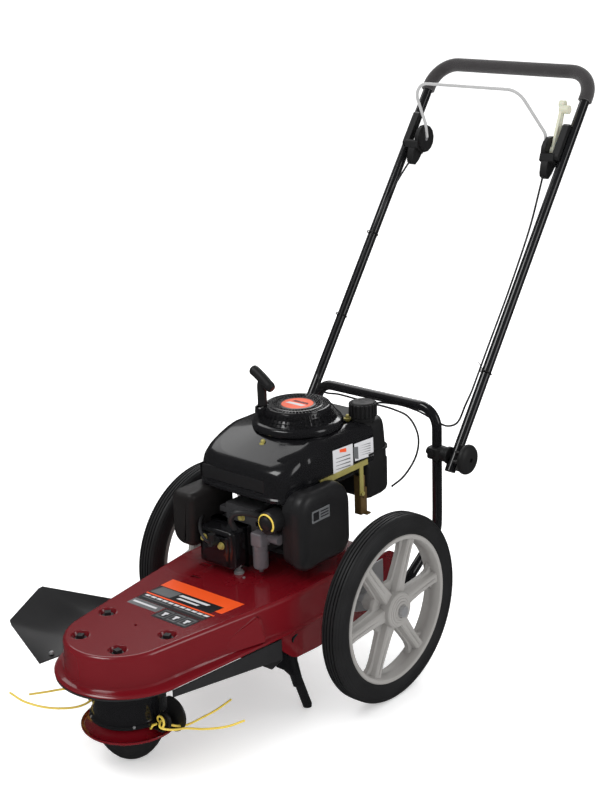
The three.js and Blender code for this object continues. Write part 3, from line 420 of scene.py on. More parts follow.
def piece(
    name, shape, finish, body, stands_for=(), crease=32, bevel=0.0, bevel_steps=2, cutters=(),
):
    """Makes one object of a shape, in the frame's metres, riding on a body."""
    finishes = finish if isinstance(finish, (list, tuple)) else [finish]
    obj = mesh_object(name, [point(*v) for v in shape.verts], shape.faces, finishes)
    mesh = obj.data
    mesh.polygons.foreach_set("material_index", shape.slots)
    face_outwards(mesh)
    for cutter in cutters:
        cut = obj.modifiers.new("cut", "BOOLEAN")
        cut.object, cut.operation, cut.solver = cutter, "DIFFERENCE", "EXACT"
    if bevel:
        roll = obj.modifiers.new("bevel", "BEVEL")
        roll.width, roll.segments = bevel / 1000, bevel_steps
        roll.limit_method, roll.angle_limit = "ANGLE", math.radians(38)
    if obj.modifiers:
        graph = bpy.context.evaluated_depsgraph_get()
        final = bpy.data.meshes.new_from_object(obj.evaluated_get(graph))
        obj.modifiers.clear()
        obj.data = final
        mesh = final
    for cutter in cutters:
        bpy.data.objects.remove(cutter)
    mesh.polygons.foreach_set("use_smooth", [True] * len(mesh.polygons))
    mesh.set_sharp_from_angle(angle=math.radians(crease))
    if body:
        obj.modifiers.new("normals", "WEIGHTED_NORMAL").keep_sharp = True
        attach(obj, body)
    if stands_for:
        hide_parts(*stands_for)
    return obj


def cutter(solid):
    """A solid that a piece is cut with. piece() removes it."""
    obj = mesh_object("cutter", [point(*v) for v in solid[0]], solid[1])
    face_outwards(obj.data)
    return obj


def about_z(degrees):
    return Matrix.Rotation(math.radians(degrees), 3, "Z")


def about_x(degrees):
    return Matrix.Rotation(math.radians(degrees), 3, "X")


# ---- wheels -------------------------------------------------------------------------------------
WHEEL_R = 203.2
TYRE_X = 261.3  # the middle of the tread
AXLE = (0, 0, WHEEL_R)
SPOKE_START = 6

half_tyre = [
    (159, 19), (165, 22.6), (172, 24.6), (181, 25), (187, 24.4), (188.5, 23.4), (190, 23.6), (194, 22.4),
    (195.2, 21.2), (196.6, 21.4), (199.6, 19), (200.2, 17.4), (201.2, 17.2), (202.6, 14.6), (202.8, 12.6),
    (199.6, 11.8), (199.6, 10.2), (203, 9.4), (203.2, 5.6), (199.8, 4.9), (199.8, 3.2), (203.2, 2.5),
]
tyre_profile = [(r, TYRE_X + w) for r, w in half_tyre] + [(r, TYRE_X - w) for r, w in reversed(half_tyre)]

rim_profile = [
    (160.4, 242), (160.4, 281.6), (158.5, 283.4), (155, 283.6), (151.5, 282.2), (149.5, 279.4), (147.5, 270),
    (148.5, 262), (150.5, 252), (148.5, 244), (150, 241.4), (157, 240.6),
]
hub_profile = [
    (8.6, 203), (18.5, 203), (20, 205), (21, 236), (30, 240), (33.5, 247), (35, 258), (37.4, 262),
    (38.4, 281), (37.8, 286), (35.4, 288.6), (31.6, 289.2), (31, 290.6), (27, 291), (26.2, 290.2),
    (25.4, 291.8), (21, 292.2), (20.2, 291.4), (19.4, 293.4), (15, 294), (14, 293), (8.6, 293),
]


def spoke_ring(reach, base, crown, rise):
    """The cross-section of a spoke: a flange with a stepped crown on its outer side."""
    low, mid, top = 250, 262, 262 + rise
    section = [
        (-base, low), (-base, mid - 2), (-base + 2.4, mid), (-crown - 2, mid + 1), (-crown, top - 3),
        (-crown + 3, top), (crown - 3, top), (crown, top - 3), (crown + 2, mid + 1), (base - 2.4, mid),
        (base, mid - 2), (base, low), (base - 4, low - 1), (-base + 4, low - 1),
    ]
    return [(x, across, reach) for across, x in section]


def wheel_shapes():
    tyre = Shape().add(lathe(tyre_profile, AXLE, "x", 120, closed=True))
    rim = Shape().add(lathe(rim_profile, AXLE, "x", 96, closed=True))
    rim.add(lathe(hub_profile, AXLE, "x", 64, closed=True))
    rim.add(lathe([
        (30, 250), (56, 250), (59, 252), (59, 259), (57, 261.4), (30, 262),
    ], AXLE, "x", 72, closed=True))
    stations = [
        (30, 22, 14, 17), (48, 20, 13, 16), (62, 17.5, 12, 15), (90, 16, 11, 14), (118, 15.4, 10.4, 13.4),
        (134, 18, 10.4, 13.4), (143, 24, 11, 13.8), (150, 34, 12, 14),
    ]
    for k in range(6):
        turn = about_x(SPOKE_START + 60 * k - 90)
        rim.add(lofted([spoke_ring(*s) for s in stations]), turn=turn, shift=AXLE)
    for k in range(6):
        turn = about_x(SPOKE_START + 60 * k - 90)
        rim.add(sweep([(276.6, 0, 60), (276, 0, 142)], 1.3, 8), turn=turn, shift=AXLE)
    nut = Shape().add(lathe([
        (0, 300.6), (6, 300.4), (8.6, 299.2), (10.5, 296.6), (12, 295.6), (12, 293.4), (0, 293.4),
    ], AXLE, "x", 32))
    for k in range(3):
        nut.add(sweep([(300, *p) for p in on_circle(7.6, 8, 120 * k, 12)], 1.1, 8), shift=AXLE)
    return tyre, rim, nut


tyre, rim, nut = wheel_shapes()
for name, side in SIDES:
    body = "wheel_" + name
    piece("wheel_tyre_" + name, for_side(tyre, side), TYRE, body, ["tyre_" + name], crease=40)
    piece("wheel_rim_" + name, for_side(rim, side), RIM, body, ["rim_" + name], crease=30)
    piece("push_nut_" + name, for_side(nut, side), STEEL, "chassis")

# ---- deck ---------------------------------------------------------------------------------------
DECK_TOP, SHOULDER_Y, DECK_REAR = 276, -178, 96
CRANK_Y = 29
HEAD_Y = -505
HEAD_AT = (0, HEAD_Y, 0)


def deck_ring(z, nose_y, nose_r, side_x, rear_y=DECK_REAR, rear_r=18, steps=18):
    reach = math.hypot(side_x, SHOULDER_Y - nose_y)
    tangent = math.atan2(SHOULDER_Y - nose_y, side_x) - math.acos(nose_r / reach)
    half = on_circle(nose_r, steps + 1, -90, (math.degrees(tangent) + 90) / steps, (0, nose_y))
    x0, y0 = half[-1]
    for i in range(1, 6):
        half.append((x0 + (side_x - 1.5 - x0) * i / 6, y0 + (SHOULDER_Y - 12 - y0) * i / 6))
    half += [(side_x - 0.6, SHOULDER_Y - 4), (side_x, SHOULDER_Y + 8), (side_x, -40)]
    half += on_circle(rear_r, 7, 0, 15, (side_x - rear_r, rear_y - rear_r))
    ring = half + [(-x, y) for x, y in reversed(half[1:])]
    return [(x, y, z) for x, y in ring]


def deck_edge(z, inset):
    """The rolled top edge, a few millimetres in from the side wall."""
    return deck_ring(z, -512, 115 - inset, 168.5 - inset, DECK_REAR - inset * 0.8)


def wall_x(y):
    """The side wall's distance from the middle, which narrows ahead of the shoulder."""
    return 168.6 - max(0, SHOULDER_Y - y) * 0.16


# The top edge and the underside are (drop from the top, inset), and the wall is deck_ring's values.
TOP_EDGE = ((0, 9), (0.8, 5.6), (2.6, 2.8), (5.6, 0.8), (9.5, 0))
WALL = (
    (240, -510, 117, 169.2), (220, -508, 119, 170), (213, -506, 121, 170.4), (209.4, -504, 124.5, 171),
    (207.4, -502.5, 130, 172), (206.6, -499.5, 139, 173.6), (205.2, -498, 144, 175),
    (203, -498, 146.4, 175.6), (200.6, -498, 146.4, 175.6), (199.4, -498, 144.6, 174.6),
    (201.4, -499, 141, 172), (203.6, -502, 130, 169), (209, -506, 119, 167.6, DECK_REAR - 2.5),
    (240, -510, 114.6, 166.8, DECK_REAR - 2.5),
)
UNDERSIDE = ((9, 2.6), (3.4, 8))
outer = [deck_edge(DECK_TOP - drop, inset) for drop, inset in TOP_EDGE]
outer += [deck_ring(*s) for s in WALL]
outer += [deck_edge(DECK_TOP - drop, inset) for drop, inset in UNDERSIDE]
deck = Shape().add(lofted(outer))
SQUARES = ((-58, -245), (-83, -190))
STUDS = ((83.5, -471), (-83.5, -471), (52, -572.5), (-52, -572.5))
# The raised facet that runs from the nose to the shoulder, and the side skirt's lower edge.
FACET = (
    (119, -452, 210), (168, -286, 211), (157, -292, 262), (116, -452, 212), (149, -286, 212),
    (146, -288, 264), (165, -280, 213), (158, -284, 258),
)
FACET_FACES = [
    (0, 1, 2), (1, 6, 7, 2), (3, 5, 4), (0, 2, 5, 3), (0, 3, 4, 1), (1, 4, 6), (2, 7, 5), (6, 4, 5, 7),
]
SKIRT_LINE = [
    (-276, 212), (-262, 204), (-246, 186), (-226, 162), (-206, 144), (-190, 138), (-128, 136), (60, 150),
    (94, 168), (94, 214),
]
for side in (1, -1):
    deck.add(([(x * side, y, z) for x, y, z in FACET], FACET_FACES))
    ear = [(60, 192), (113, 192), *on_circle(36, 14, -78, 12, (113, 228)), (113, 264), (60, 264)]
    deck.add(prism(ear, 165.5 * side, 169.5 * side, "yz"))
    inner, outer_side = [], []
    for y, z in SKIRT_LINE + [(-276 + 37 * i, 214) for i in range(9, -1, -1)]:
        inner.append(((wall_x(y) - 2) * side, y, z))
        outer_side.append(((wall_x(y) + 1.2 + max(0, 214 - z) * 0.02) * side, y, z))
    deck.add(lofted([inner, outer_side]))
    edge = [((wall_x(y) + 1) * side, y, z) for y, z in SKIRT_LINE[:-1]]
    deck.add(sweep(eased(edge, 5), 2.8, 10))
holes = [cutter(rod((x, y, 262), (x, y, 290), 18.5, 40)) for x, y in STUDS]
holes.append(cutter(rod((4, -478, 262), (4, -478, 290), 3.4, 20)))
holes += [cutter(brick(x - 13, x + 13, y - 7, y + 7, 262, 290)) for x, y in SQUARES]
holes.append(cutter(rod((0, CRANK_Y, 250), (0, CRANK_Y, 290), 22, 32)))
piece("deck_shell", deck, RED, "chassis", ["deck"], crease=24, cutters=holes)

wells = Shape()
for x, y in STUDS:
    wells.add(lathe([
        (18.4, 274.6), (19.6, 276.1), (18.9, 276.3), (17.6, 275.2), (15, 268.4), (13, 266.6), (0, 266.4),
        (0, 264), (14, 264), (17.4, 270),
    ], (x, y, 0), "z", 40))
for x, y in SQUARES:
    wells.add(brick(x - 13.4, x + 13.4, y - 7.4, y + 7.4, 267, 270.4))
piece("deck_wells", wells, RED, "chassis", crease=40)
bolts = Shape()
for k, (x, y) in enumerate(STUDS):
    bolts.add(brick(-6.4, 6.4, -6.4, 6.4, 267, 277.4), turn=about_z(20 + 31 * k), shift=(x, y, 0))
    bolts.add(lathe([
        (0, 270.6), (11.6, 270.2), (12.6, 268.8), (12.6, 266.4), (0, 266.4),
    ], (x, y, 0), "z", 32))
piece("deck_bolts", bolts, SATIN, "chassis", bevel=0.8)
stud = Shape().add(lathe([
    (0, 300), (4.6, 299), (7, 295.6), (7, 292.6), (4.4, 289), (3.4, 287), (3.4, 284), (8.6, 283),
    (8.6, 279.6), (11, 278.6), (11, 276.1), (0, 276.1),
], (3, -178, 0), "z", 28))
stud.add(rod((28, -190, 276), (28, -190, 278), 3, 16))
piece("ball_stud", stud, STEEL, "chassis", crease=50)

# The label: plain bands, bars and squares, with no lettering.
LABEL_REAR, LABEL_FRONT = ((-87, -283), (113, -282)), ((-86, -434), (96, -432))


def on_label(u, v, lift):
    """u runs across the label and v from its rear edge to its front edge."""
    (ax, ay), (bx, by) = LABEL_REAR
    (cx, cy), (dx, dy) = LABEL_FRONT
    x = (1 - v) * ((1 - u) * ax + u * bx) + v * ((1 - u) * cx + u * dx)
    y = (1 - v) * ((1 - u) * ay + u * by) + v * ((1 - u) * cy + u * dy)
    return (x, y, DECK_TOP + lift)


def sticker(shape, u0, v0, u1, v1, slot, lift=0.3, lean=0.0):
    low = [
        on_label(u0 + lean, v0, 0.04), on_label(u1 + lean, v0, 0.04), on_label(u1, v1, 0.04),
        on_label(u0, v1, 0.04),
    ]
    high = [(x, y, DECK_TOP + lift) for x, y, _ in low]
    shape.add(lofted([low, high]), slot)


# Each band is u0, v0, u1, v1, colour, lift and lean.
BANDS = (
    (0, 0, 1, 0.24, 0, 0.22), (0, 0.24, 0.9, 0.48, 1, 0.22, 0.01), (0.9, 0.24, 1, 0.4, 0, 0.22),
    (0.02, 0.26, 0.3, 0.46, 2, 0.3, 0.03), (0.34, 0.29, 0.74, 0.34, 3, 0.34, 0.02),
    (0.37, 0.38, 0.66, 0.42, 3, 0.34, 0.02), (0, 0.49, 0.98, 0.52, 0, 0.24), (0, 0.53, 0.97, 0.7, 1, 0.22),
)
LOWER_BANDS = (
    (0.03, 0.615, 0.46, 0.635, 2, 0.32), (0.5, 0.615, 0.94, 0.635, 2, 0.32), (0, 0.71, 0.44, 0.88, 2, 0.24),
    (0.03, 0.77, 0.38, 0.81, 3, 0.3), (0.46, 0.71, 0.97, 0.99, 1, 0.22),
)
label = Shape()
for band in BANDS:
    sticker(label, *band)
for k in range(11):
    sticker(label, 0.03 + 0.085 * k, 0.545, 0.095 + 0.085 * k, 0.585, 3, 0.32, 0.01)
for band in LOWER_BANDS:
    sticker(label, *band)
for k in range(3):
    u = 0.49 + 0.16 * k
    sticker(label, u, 0.74, u + 0.13, 0.95, 2, 0.3)
    sticker(label, u + 0.012, 0.765, u + 0.118, 0.925, 1, 0.36)
    sticker(label, u + 0.035, 0.8, u + 0.095, 0.84, 3, 0.42)
    sticker(label, u + 0.05, 0.84, u + 0.08, 0.9, 3, 0.42)
piece("deck_label", label, [ORANGE, INK, SLATE, PAPER], "chassis")

# ---- guards, feet and brackets ------------------------------------------------------------------
flap_corners = [
    (-136, -552, 199.5), (-150, -600, 196), (-262, -579, 246), (-285, -472, 277), (-178, -296, 199.5),
]


def flap_solid():
    """The flap as a fine patch between its hinge line and its raised outer edge, a little cupped."""
    inner = [Vector(flap_corners[i]) for i in (0, 4)]
    outer_edge = [Vector(flap_corners[i]) for i in (1, 2, 3, 4)]
    lengths = [(b - a).length for a, b in zip(outer_edge, outer_edge[1:])]
    across, along = 14, 36
    grid = []
    for j in range(along + 1):
        reach = sum(lengths) * j / along
        k = 0
        while k < len(lengths) - 1 and reach > lengths[k]:
            reach -= lengths[k]
            k += 1
        far = outer_edge[k].lerp(outer_edge[k + 1], reach / lengths[k])
        near = inner[0].lerp(inner[1], (j / along) ** 0.9)
        row = []
        for i in range(across + 1):
            t = i / across
            p = near.lerp(far, t)
            p.z -= 7 * math.sin(math.pi * t) * math.sin(math.pi * min(j / along * 1.1, 1))
            row.append(p)
        grid.append(row)
    count = across + 1
    flat = [p for row in grid for p in row]
    verts = flat + [p - Vector((0, 0, 2.6)) for p in flat]
    size = len(flat)
    faces = []
    for j in range(along):
        for i in range(across):
            a, b, c, d = j * count + i, j * count + i + 1, (j + 1) * count + i + 1, (j + 1) * count + i
            faces += [(a, b, c, d), (size + a, size + d, size + c, size + b)]
    rim_loop = [j * count for j in range(along + 1)] + [along * count + i for i in range(1, count)]
    rim_loop += [j * count + across for j in range(along - 1, -1, -1)] + [i for i in range(across - 1, 0, -1)]
    for a, b in zip(rim_loop, rim_loop[1:] + rim_loop[:1]):
        faces.append((a, b, size + b, size + a))
    return verts, faces


flap = Shape().add(flap_solid())
piece("flap_sheet", flap, RUBBER, "chassis", ["deflector_flap"], crease=60)
rivets = Shape()
for x, y, z in ((-152, -566, 204.5), (-160, -520, 209)):
    rivets.add(lathe([(0, z + 3.2), (3.4, z + 2.4), (5, z), (5, z - 3), (0, z - 3)], (x, y, 0), "z", 20))
for x, y in on_circle(77, 2, -118, 80, (0, HEAD_Y)):
    rivets.add(lathe([(0, 107), (2.4, 106.4), (3.6, 104.6), (3.6, 102), (0, 102)], (x, y, 0), "z", 16))
piece("rivets", rivets, STEEL, "chassis")

skirt = Shape()
for side in (1, -1):
    rings = []
    for i in range(25):
        t = i / 24
        x, y, hem = (141 + 26 * t) * side, -520 + 282 * t, 182 - 30 * t
        near, far = x - 1.3 * side, x + 1.3 * side
        rings.append([(near, y, hem), (far, y, hem), (far, y, 196), (near, y, 196)])
    skirt.add(lofted(rings))
shield = [(-168, 196), (-168, 150), (-140, 120), (140, 120), (168, 150), (168, 196)]
skirt.add(prism(shield, -239, -236, "xz"))
edges = [
    [(x, y, z) for x, y in on_circle(r, 33, 180, 5.625, (0, HEAD_Y))]
    for r, z in ((103, 206), (140, 199.2), (140, 196), (103, 201))
]
skirt.add(lofted(list(zip(*edges))))
piece("skirt_sheet", skirt, RUBBER, "chassis", ["debris_skirt"], crease=40)

for name, side in SIDES:
    x = 153 * side
    route = rounded([(x, -132, 186), (x, -205, 187), (x, -176, 78), (x, -147, 3.66)], [22, 30], 10)
    foot = Shape().add(sweep(route, 10, 20))
    foot.add(lathe([(0, 4), (4, 3.4), (8, 1.6), (9.6, 0.4), (9.6, 6), (0, 8)], (x, -147.5, 0), "z", 20))
    web = [
        (-236, 190), (-236, 128), (-214, 112), (-196, 92), (-186, 62), (-178, 62), (-178, 110), (-170, 186),
    ]
    foot.add(prism(web, x - 3, x + 3, "yz"))
    piece("skid_foot_" + name, foot, GLOSS, "chassis", ["stand_foot_" + name])
    plate = Shape().add(prism([
        (-52, 262), (-52, 214), (-20, 176), (66, 150), (82, 168), (82, 262),
    ], 178, 182, "yz"))
    near, far = sorted((170 * side, 190 * side))
    slots = [cutter(brick(near, far, 26, 48, 172 + 12 * i, 178 + 12 * i)) for i in range(3)]
    shape = for_side(plate, side)
    piece(
        "axle_plate_" + name, shape, GREY, "chassis", ["axle_bracket_" + name], cutters=slots,
        bevel=0.8,
    )

# ---- trimmer head -------------------------------------------------------------------------------
housing = Shape().add(lathe([
    (26, 196), (26, 150), (12.6, 150), (12.6, 206), (104, 206), (104, 202), (76, 199.4), (73.4, 197),
    (73, 192), (73, 118), (73.6, 112), (76, 108), (79, 105.6), (80, 103), (80, 99), (78.4, 98), (69.5, 98),
    (69.5, 194),
], HEAD_AT, "z", 72, closed=True))
for x, y in STUDS:
    housing.add(rod((x, y, 200), (x, y, 270), 4.5, 12))
piece("drum_shell", housing, GLOSS, "chassis", ["spindle_housing"], crease=30)
dish = Shape().add(lathe([
    (10.4, 92), (62, 92), (66, 91.4), (70, 88.6), (76, 83.6), (82, 80.4), (88, 79.2), (92, 79.4),
    (95.4, 81), (97.4, 82), (98.4, 80.8), (98.2, 78.6), (96, 76), (91, 74), (83, 73.2), (72, 74.6),
    (66, 77), (10.4, 77),
], HEAD_AT, "z", 96, closed=True))
piece("head_dish", dish, RED, "trimmer_head", ["trimmer_dish"], crease=40)
bowl = Shape().add(lathe([
    (0, 60), (40, 60), (44, 72.5), (67, 72.5), (68, 71.4), (68, 64), (66, 56), (61.6, 44), (55, 32.4),
    (46, 20.6), (37, 11.6), (29, 6), (19, 2.2), (9, 0.7), (0, 0.5),
], HEAD_AT, "z", 72))
bowl.add(lathe([(67.4, 65), (69.4, 66), (69.4, 70), (67.4, 71)], HEAD_AT, "z", 72, closed=True))
piece("glide_cup", bowl, MOULDED, "trimmer_head", ["glide_bowl"], crease=40)

ears = Shape().add(prism(on_circle(62, 48, centre=(0, HEAD_Y)), 92.5, 95.5))
for side in (1, -1):
    x = 97 * side
    near, far = sorted((56 * side, 106 * side))
    ears.add(brick(near, far, -521, -489, 92.6, 95.4))
    ears.add(lathe([
        (9, -509), (15, -509), (17, -507.6), (17, -502.4), (15, -501), (9, -501),
    ], (x, 0, 110), "y", 36, closed=True))
    ears.add(lathe([
        (8.6, -512.5), (10.8, -512.5), (10.8, -497.5), (8.6, -497.5),
    ], (x, 0, 111), "y", 28, closed=True))
for side in (1, -1):
    wing = [(82 * side, 78), (82 * side, 147)]
    wing += [(x * side, z) for x, z in on_circle(37, 20, 95, -10, (92, 112))]
    ears.add(prism(wing, -482, -477, "xz"))
piece("line_ears", ears, MOULDED, "trimmer_head", ["line_hook_plate"], bevel=0.7)

LINE_R = 2.3
line_routes = {
    "left": [
        (119, -341, 90), (124, -385, 90), (123, -423, 90), (117, -473, 91), (106, -500, 102),
        (97, -504, 112), (97, -516, 112), (103, -524, 106), (114, -504, 95), (128, -478, 91),
        (156, -458, 90), (185, -424, 90), (197, -386, 90),
    ],
    "right": [
        (-225, -575, 90), (-205, -547, 90), (-183, -520, 92), (-140, -500, 100), (-108, -492, 110),
        (-96, -496, 112), (-94, -508, 108), (-96, -526, 96), (-108, -550, 90), (-147, -585, 90),
        (-207, -600, 90), (-262, -594, 90),
    ],
}
for name, route in line_routes.items():
    strand = Shape().add(sweep(eased(route, 10), LINE_R, 10))
    piece("nylon_line_" + name, strand, LINE, "trimmer_head", ["trimmer_line_" + name])
curls = Shape()
for side in (1, -1):
    turns = enumerate(on_circle(11, 24, -60, 13, (97, 112)))
    curl = [(x * side, -520 + 0.425 * i, z) for i, (x, z) in turns]
    curls.add(sweep(curl, LINE_R, 10))
    tail = ((92, -522, 108), (84, -524, 104), (78, -524, 95), (76, -524, 93.6))
    curls.add(sweep([(x * side, y, z) for x, y, z in tail], LINE_R, 10))
piece("nylon_curls", curls, LINE, "trimmer_head")

# ---- lower hoop and handle ----------------------------------------------------------------------
TUBE_R, HOOP_X, HOOP_Y, HOOP_TOP = 11.1, 170, 297, 538
HANDLE_X, GRIP_Z, FOLD_Z, DRUM_Z = 220, 1205, 438, 1041
HANDLE_BEND = 62


def handle_y(z):
    return 341.3 + 0.722 * (z - 500)


FOLD_Y, DRUM_Y = handle_y(FOLD_Z), handle_y(DRUM_Z)
hoop_half = [
    (HOOP_X + 12, 112, 158), (HOOP_X + 11, 158, 172), (HOOP_X + 4, 290, 250), (HOOP_X, HOOP_Y, 300),
    (HOOP_X, HOOP_Y, HOOP_TOP),
]
hoop_corners = [(-x, y, z) for x, y, z in hoop_half] + hoop_half[::-1]
hoop = Shape().add(sweep(rounded(hoop_corners, [60, 50, 50, 44, 44, 50, 50, 60], 10), TUBE_R, 28))
piece("hoop_tube", hoop, GLOSS, "chassis", ["lower_hoop"])

foot_z = 410
ends = ((-1, foot_z), (-1, GRIP_Z), (1, GRIP_Z), (1, foot_z))
handle_corners = [(HANDLE_X * side, handle_y(z), z) for side, z in ends]
handle = Shape().add(sweep(rounded(handle_corners, HANDLE_BEND, 14), TUBE_R, 28))
piece("handle_tube", handle, GLOSS, "handle", ["upper_handle"])
foam_z = 1146
foam_ends = [(HANDLE_X * side, handle_y(foam_z), foam_z) for side in (-1, 1)]
foam_corners = [foam_ends[0], *handle_corners[1:3], foam_ends[1]]
foam_route = rounded(foam_corners, HANDLE_BEND, 14)
first, last = Vector(foam_route[0]), Vector(foam_route[-1])
foam_route.insert(1, first.lerp(Vector(foam_route[1]), 0.06))
foam_route.insert(-1, last.lerp(Vector(foam_route[-2]), 0.06))
foam = Shape().add(sweep(foam_route, [14.8, 16] + [16] * (len(foam_route) - 4) + [16, 14.8], 32))
piece("grip_foam", foam, FOAM, "handle", ["foam_grip"])

for name, side in SIDES:
    clamp = Shape().add(soft_block(153, 189, HOOP_Y - 20, HOOP_Y + 14, FOLD_Z - 12, FOLD_Z + 14, 9, 3))
    clamp.add(rod((180, FOLD_Y, FOLD_Z), (200, FOLD_Y, FOLD_Z), 17, 36))
    clamp.add(lathe([
        (0, 207.4), (18, 207.4), (19.4, 206), (19.4, 200), (17, 198), (15, 196), (0, 196),
    ], (0, FOLD_Y, FOLD_Z), "x", 40))
    clamp.add(rod((170, HOOP_Y - 20, FOLD_Z + 3), (170, HOOP_Y - 24, FOLD_Z + 3), 8, 6))
    clamp.add(rod((158, HOOP_Y - 6, FOLD_Z + 1), (148, HOOP_Y - 6, FOLD_Z + 1), 7, 20))
    clamp.add(rod((204, FOLD_Y + 8, FOLD_Z - 12), (204, FOLD_Y - 6, FOLD_Z - 36), 8, 20))
    knob = Shape().add(rod((212, FOLD_Y, FOLD_Z), (236, FOLD_Y, FOLD_Z), 4, 16))
    knob.add(lathe([
        (0, 232), (13, 232), (14, 234), (14, 240), (20, 243), (31, 245.4), (33, 247), (33.6, 250),
        (33.2, 254), (30.6, 258), (24, 261), (14, 262.4), (6, 262.6), (5, 261.6), (5, 256), (0, 256),
    ], (0, FOLD_Y, FOLD_Z), "x", 64))
    for k in range(8):
        lobe = soft_block(233.4, 245, -2.4, 2.4, 14, 31, 2, 1, 3)
        knob.add(lobe, turn=about_x(45 * k), shift=(0, FOLD_Y, FOLD_Z))
    clamp, knob = for_side(clamp, side), for_side(knob, side)
    piece("clamp_" + name, clamp, MOULDED, "chassis", ["pivot_clamp_" + name], bevel=1.2)
    piece("knob_" + name, knob, MOULDED, "knob_" + name, ["fold_knob_" + name], crease=40)

# ---- controls -----------------------------------------------------------------------------------
up = Vector((0, 0.722, 1)).normalized()
out = Vector((0, -1, 0.722)).normalized()


def at(x, along, ahead):
    return Vector((x, DRUM_Y, DRUM_Z)) + up * along + out * ahead


def control_slab(x0, x1, outline):
    """A plate in the handle's plane directions: outline is (along, ahead) pairs."""
    return lofted([[at(x, a, b) for a, b in outline] for x in (x0, x1)])


def housing_shape():
    shape = Shape()
    for x0, x1, radius, count in ((172, 183, 33, 14), (170.6, 172.2, 30, 40), (169.6, 172.4, 27, 40)):
        shape.add(control_slab(x0, x1, on_circle(radius, count)))
    shape.add(control_slab(172, 208, [(-36, -10), (-16, -10), (-16, 24), (-22, 27), (-36, 22)]))
    shape.add(control_slab(201, 218, [(-30, 12.2), (60, 12.2), (60, 20), (54, 24), (-24, 24), (-30, 20)]))
    shape.add(control_slab(
        178, 196, [(-68, -6), (-52, -12), (-22, -16), (-22, 22), (-44, 20), (-62, 12), (-68, 6)],
    ))
    return shape


for name, side in SIDES:
    shape = for_side(housing_shape(), side)
    piece(
        "control_case_" + name, shape, MOULDED, "handle", ["control_housing_" + name],
        bevel=1.6, bevel_steps=3,
    )
    screw = Shape().add(lathe([
        (0, 168.6), (4, 168.9), (5.4, 170.2), (5.4, 173), (0, 173),
    ], (0, DRUM_Y, DRUM_Z), "x", 24))
    piece("case_screw_" + name, for_side(screw, side), GREY, "handle")

BAIL_REACH = 137
lean = math.radians(45.5)
bail_along = up * math.cos(lean) + out * math.sin(lean)


def bail_point(x, reach):
    return Vector((x, DRUM_Y, DRUM_Z)) + bail_along * reach


bail_route = rounded([
    bail_point(-168, 4), bail_point(-168, 38), bail_point(-194, BAIL_REACH), bail_point(104, BAIL_REACH),
    bail_point(168, 40), bail_point(168, 4),
], [20, 34, 56, 20], 14)
bail = Shape().add(sweep(bail_route, 3.6, 16))
piece("bail_rod", bail, BAIL, "bail_bar", ["bail"])

lever_lean = math.radians(16)
lever_along = up * math.cos(lever_lean) + out * math.sin(lever_lean)
lever_across = lever_along.cross(Vector((1, 0, 0)))


def lever_point(x, reach, across=0):
    return Vector((x, DRUM_Y, DRUM_Z)) + lever_along * reach + lever_across * across


def lever_ring(reach, half):
    """The lever's section, 7 mm thick, with its corners taken off."""
    quarter = [(-3.5, -half + 1), (-2.5, -half), (2.5, -half), (3.5, -half + 1)]
    section = quarter + [(-dx, -dz) for dx, dz in quarter]
    return [lever_point(187.7 + dx, reach, dz) for dx, dz in section]


lever = Shape().add(rod(lever_point(183.6, 0), lever_point(191.6, 0), 13, 36))
lever.add(lofted([
    lever_ring(*s) for s in ((-12, 7), (4, 10), (30, 10.5), (60, 9.4), (84, 8), (100, 7), (112, 7))
]))
lever.add(sweep([lever_point(191.4, 8), lever_point(191.6, 50), lever_point(191.4, 86)], 1.6, 8))
lever.add(rod(lever_point(183.8, 96), lever_point(206, 96), 10, 36))
lever.add(rod(lever_point(205, 96), lever_point(207.6, 96), 7, 30))
lever.add(rod(lever_point(179.6, 108), lever_point(193, 108), 8.4, 32))
piece("lever_arm", lever, IVORY, "throttle", ["throttle_lever"], bevel=0.9)

# ---- control cables -----------------------------------------------------------------------------
CABLE_R = 2.3


def on_tube(x, z, ahead):
    return Vector((x, handle_y(z), z)) + out * ahead


for name, side in (("throttle", 1), ("brake", -1)):
    upper = [
        on_tube(188 * side, 986, 8), on_tube(196 * side, 950, 12), on_tube(208 * side, 880, 16),
        on_tube(212 * side, 760, 15), on_tube(212 * side, 640, 16), on_tube(212 * side, 560, 16),
    ]
    shape = Shape().add(sweep(eased(upper, 10), CABLE_R, 12))
    piece(name + "_cable_top", shape, SATIN, "handle", [name + "_cable_upper"])
lower_routes = {
    "throttle": [
        on_tube(212, 559.4, 16), on_tube(210, 530, 18), (196, 336, 500), (176, 326, 492), (140, 320, 504),
        (100, 317, 516), (40, 315, 520), (-20, 306, 508), (-52, 270, 440), (-44, 232, 400),
        (-30, 206.5, 394),
    ],
    "brake": [
        on_tube(-212, 559.4, 16), on_tube(-210, 530, 18), (-192, 334, 506), (-160, 318, 508),
        (-110, 302, 518), (-20, 292, 519), (60, 288, 518), (100, 288, 508), (134, 276, 476),
        (148, 250, 440), (134, 222, 396), (112, 206.5, 372),
    ],
}
for name, route in lower_routes.items():
    shape = Shape().add(sweep(eased(route, 8), CABLE_R, 12))
    obj = piece(name + "_cable_bottom", shape, SATIN, None, [name + "_cable_lower"])
    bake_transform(obj)


def tie(shape, centre, axis, radius, tail):
    centre, axis = Vector(centre), Vector(axis).normalized()
    one = axis.orthogonal().normalized()
    two = axis.cross(one)
    loop = [centre + a * one + b * two for a, b in on_circle(radius, 28)]
    shape.add(sweep(loop, 1.3, 8, looped=True))
    start = centre + Vector(tail[0])
    shape.add(sweep([
        start, start + Vector(tail[1]) * 0.5 + Vector((0, 0, 1.2)), start + Vector(tail[1]),
    ], 0.9, 8))


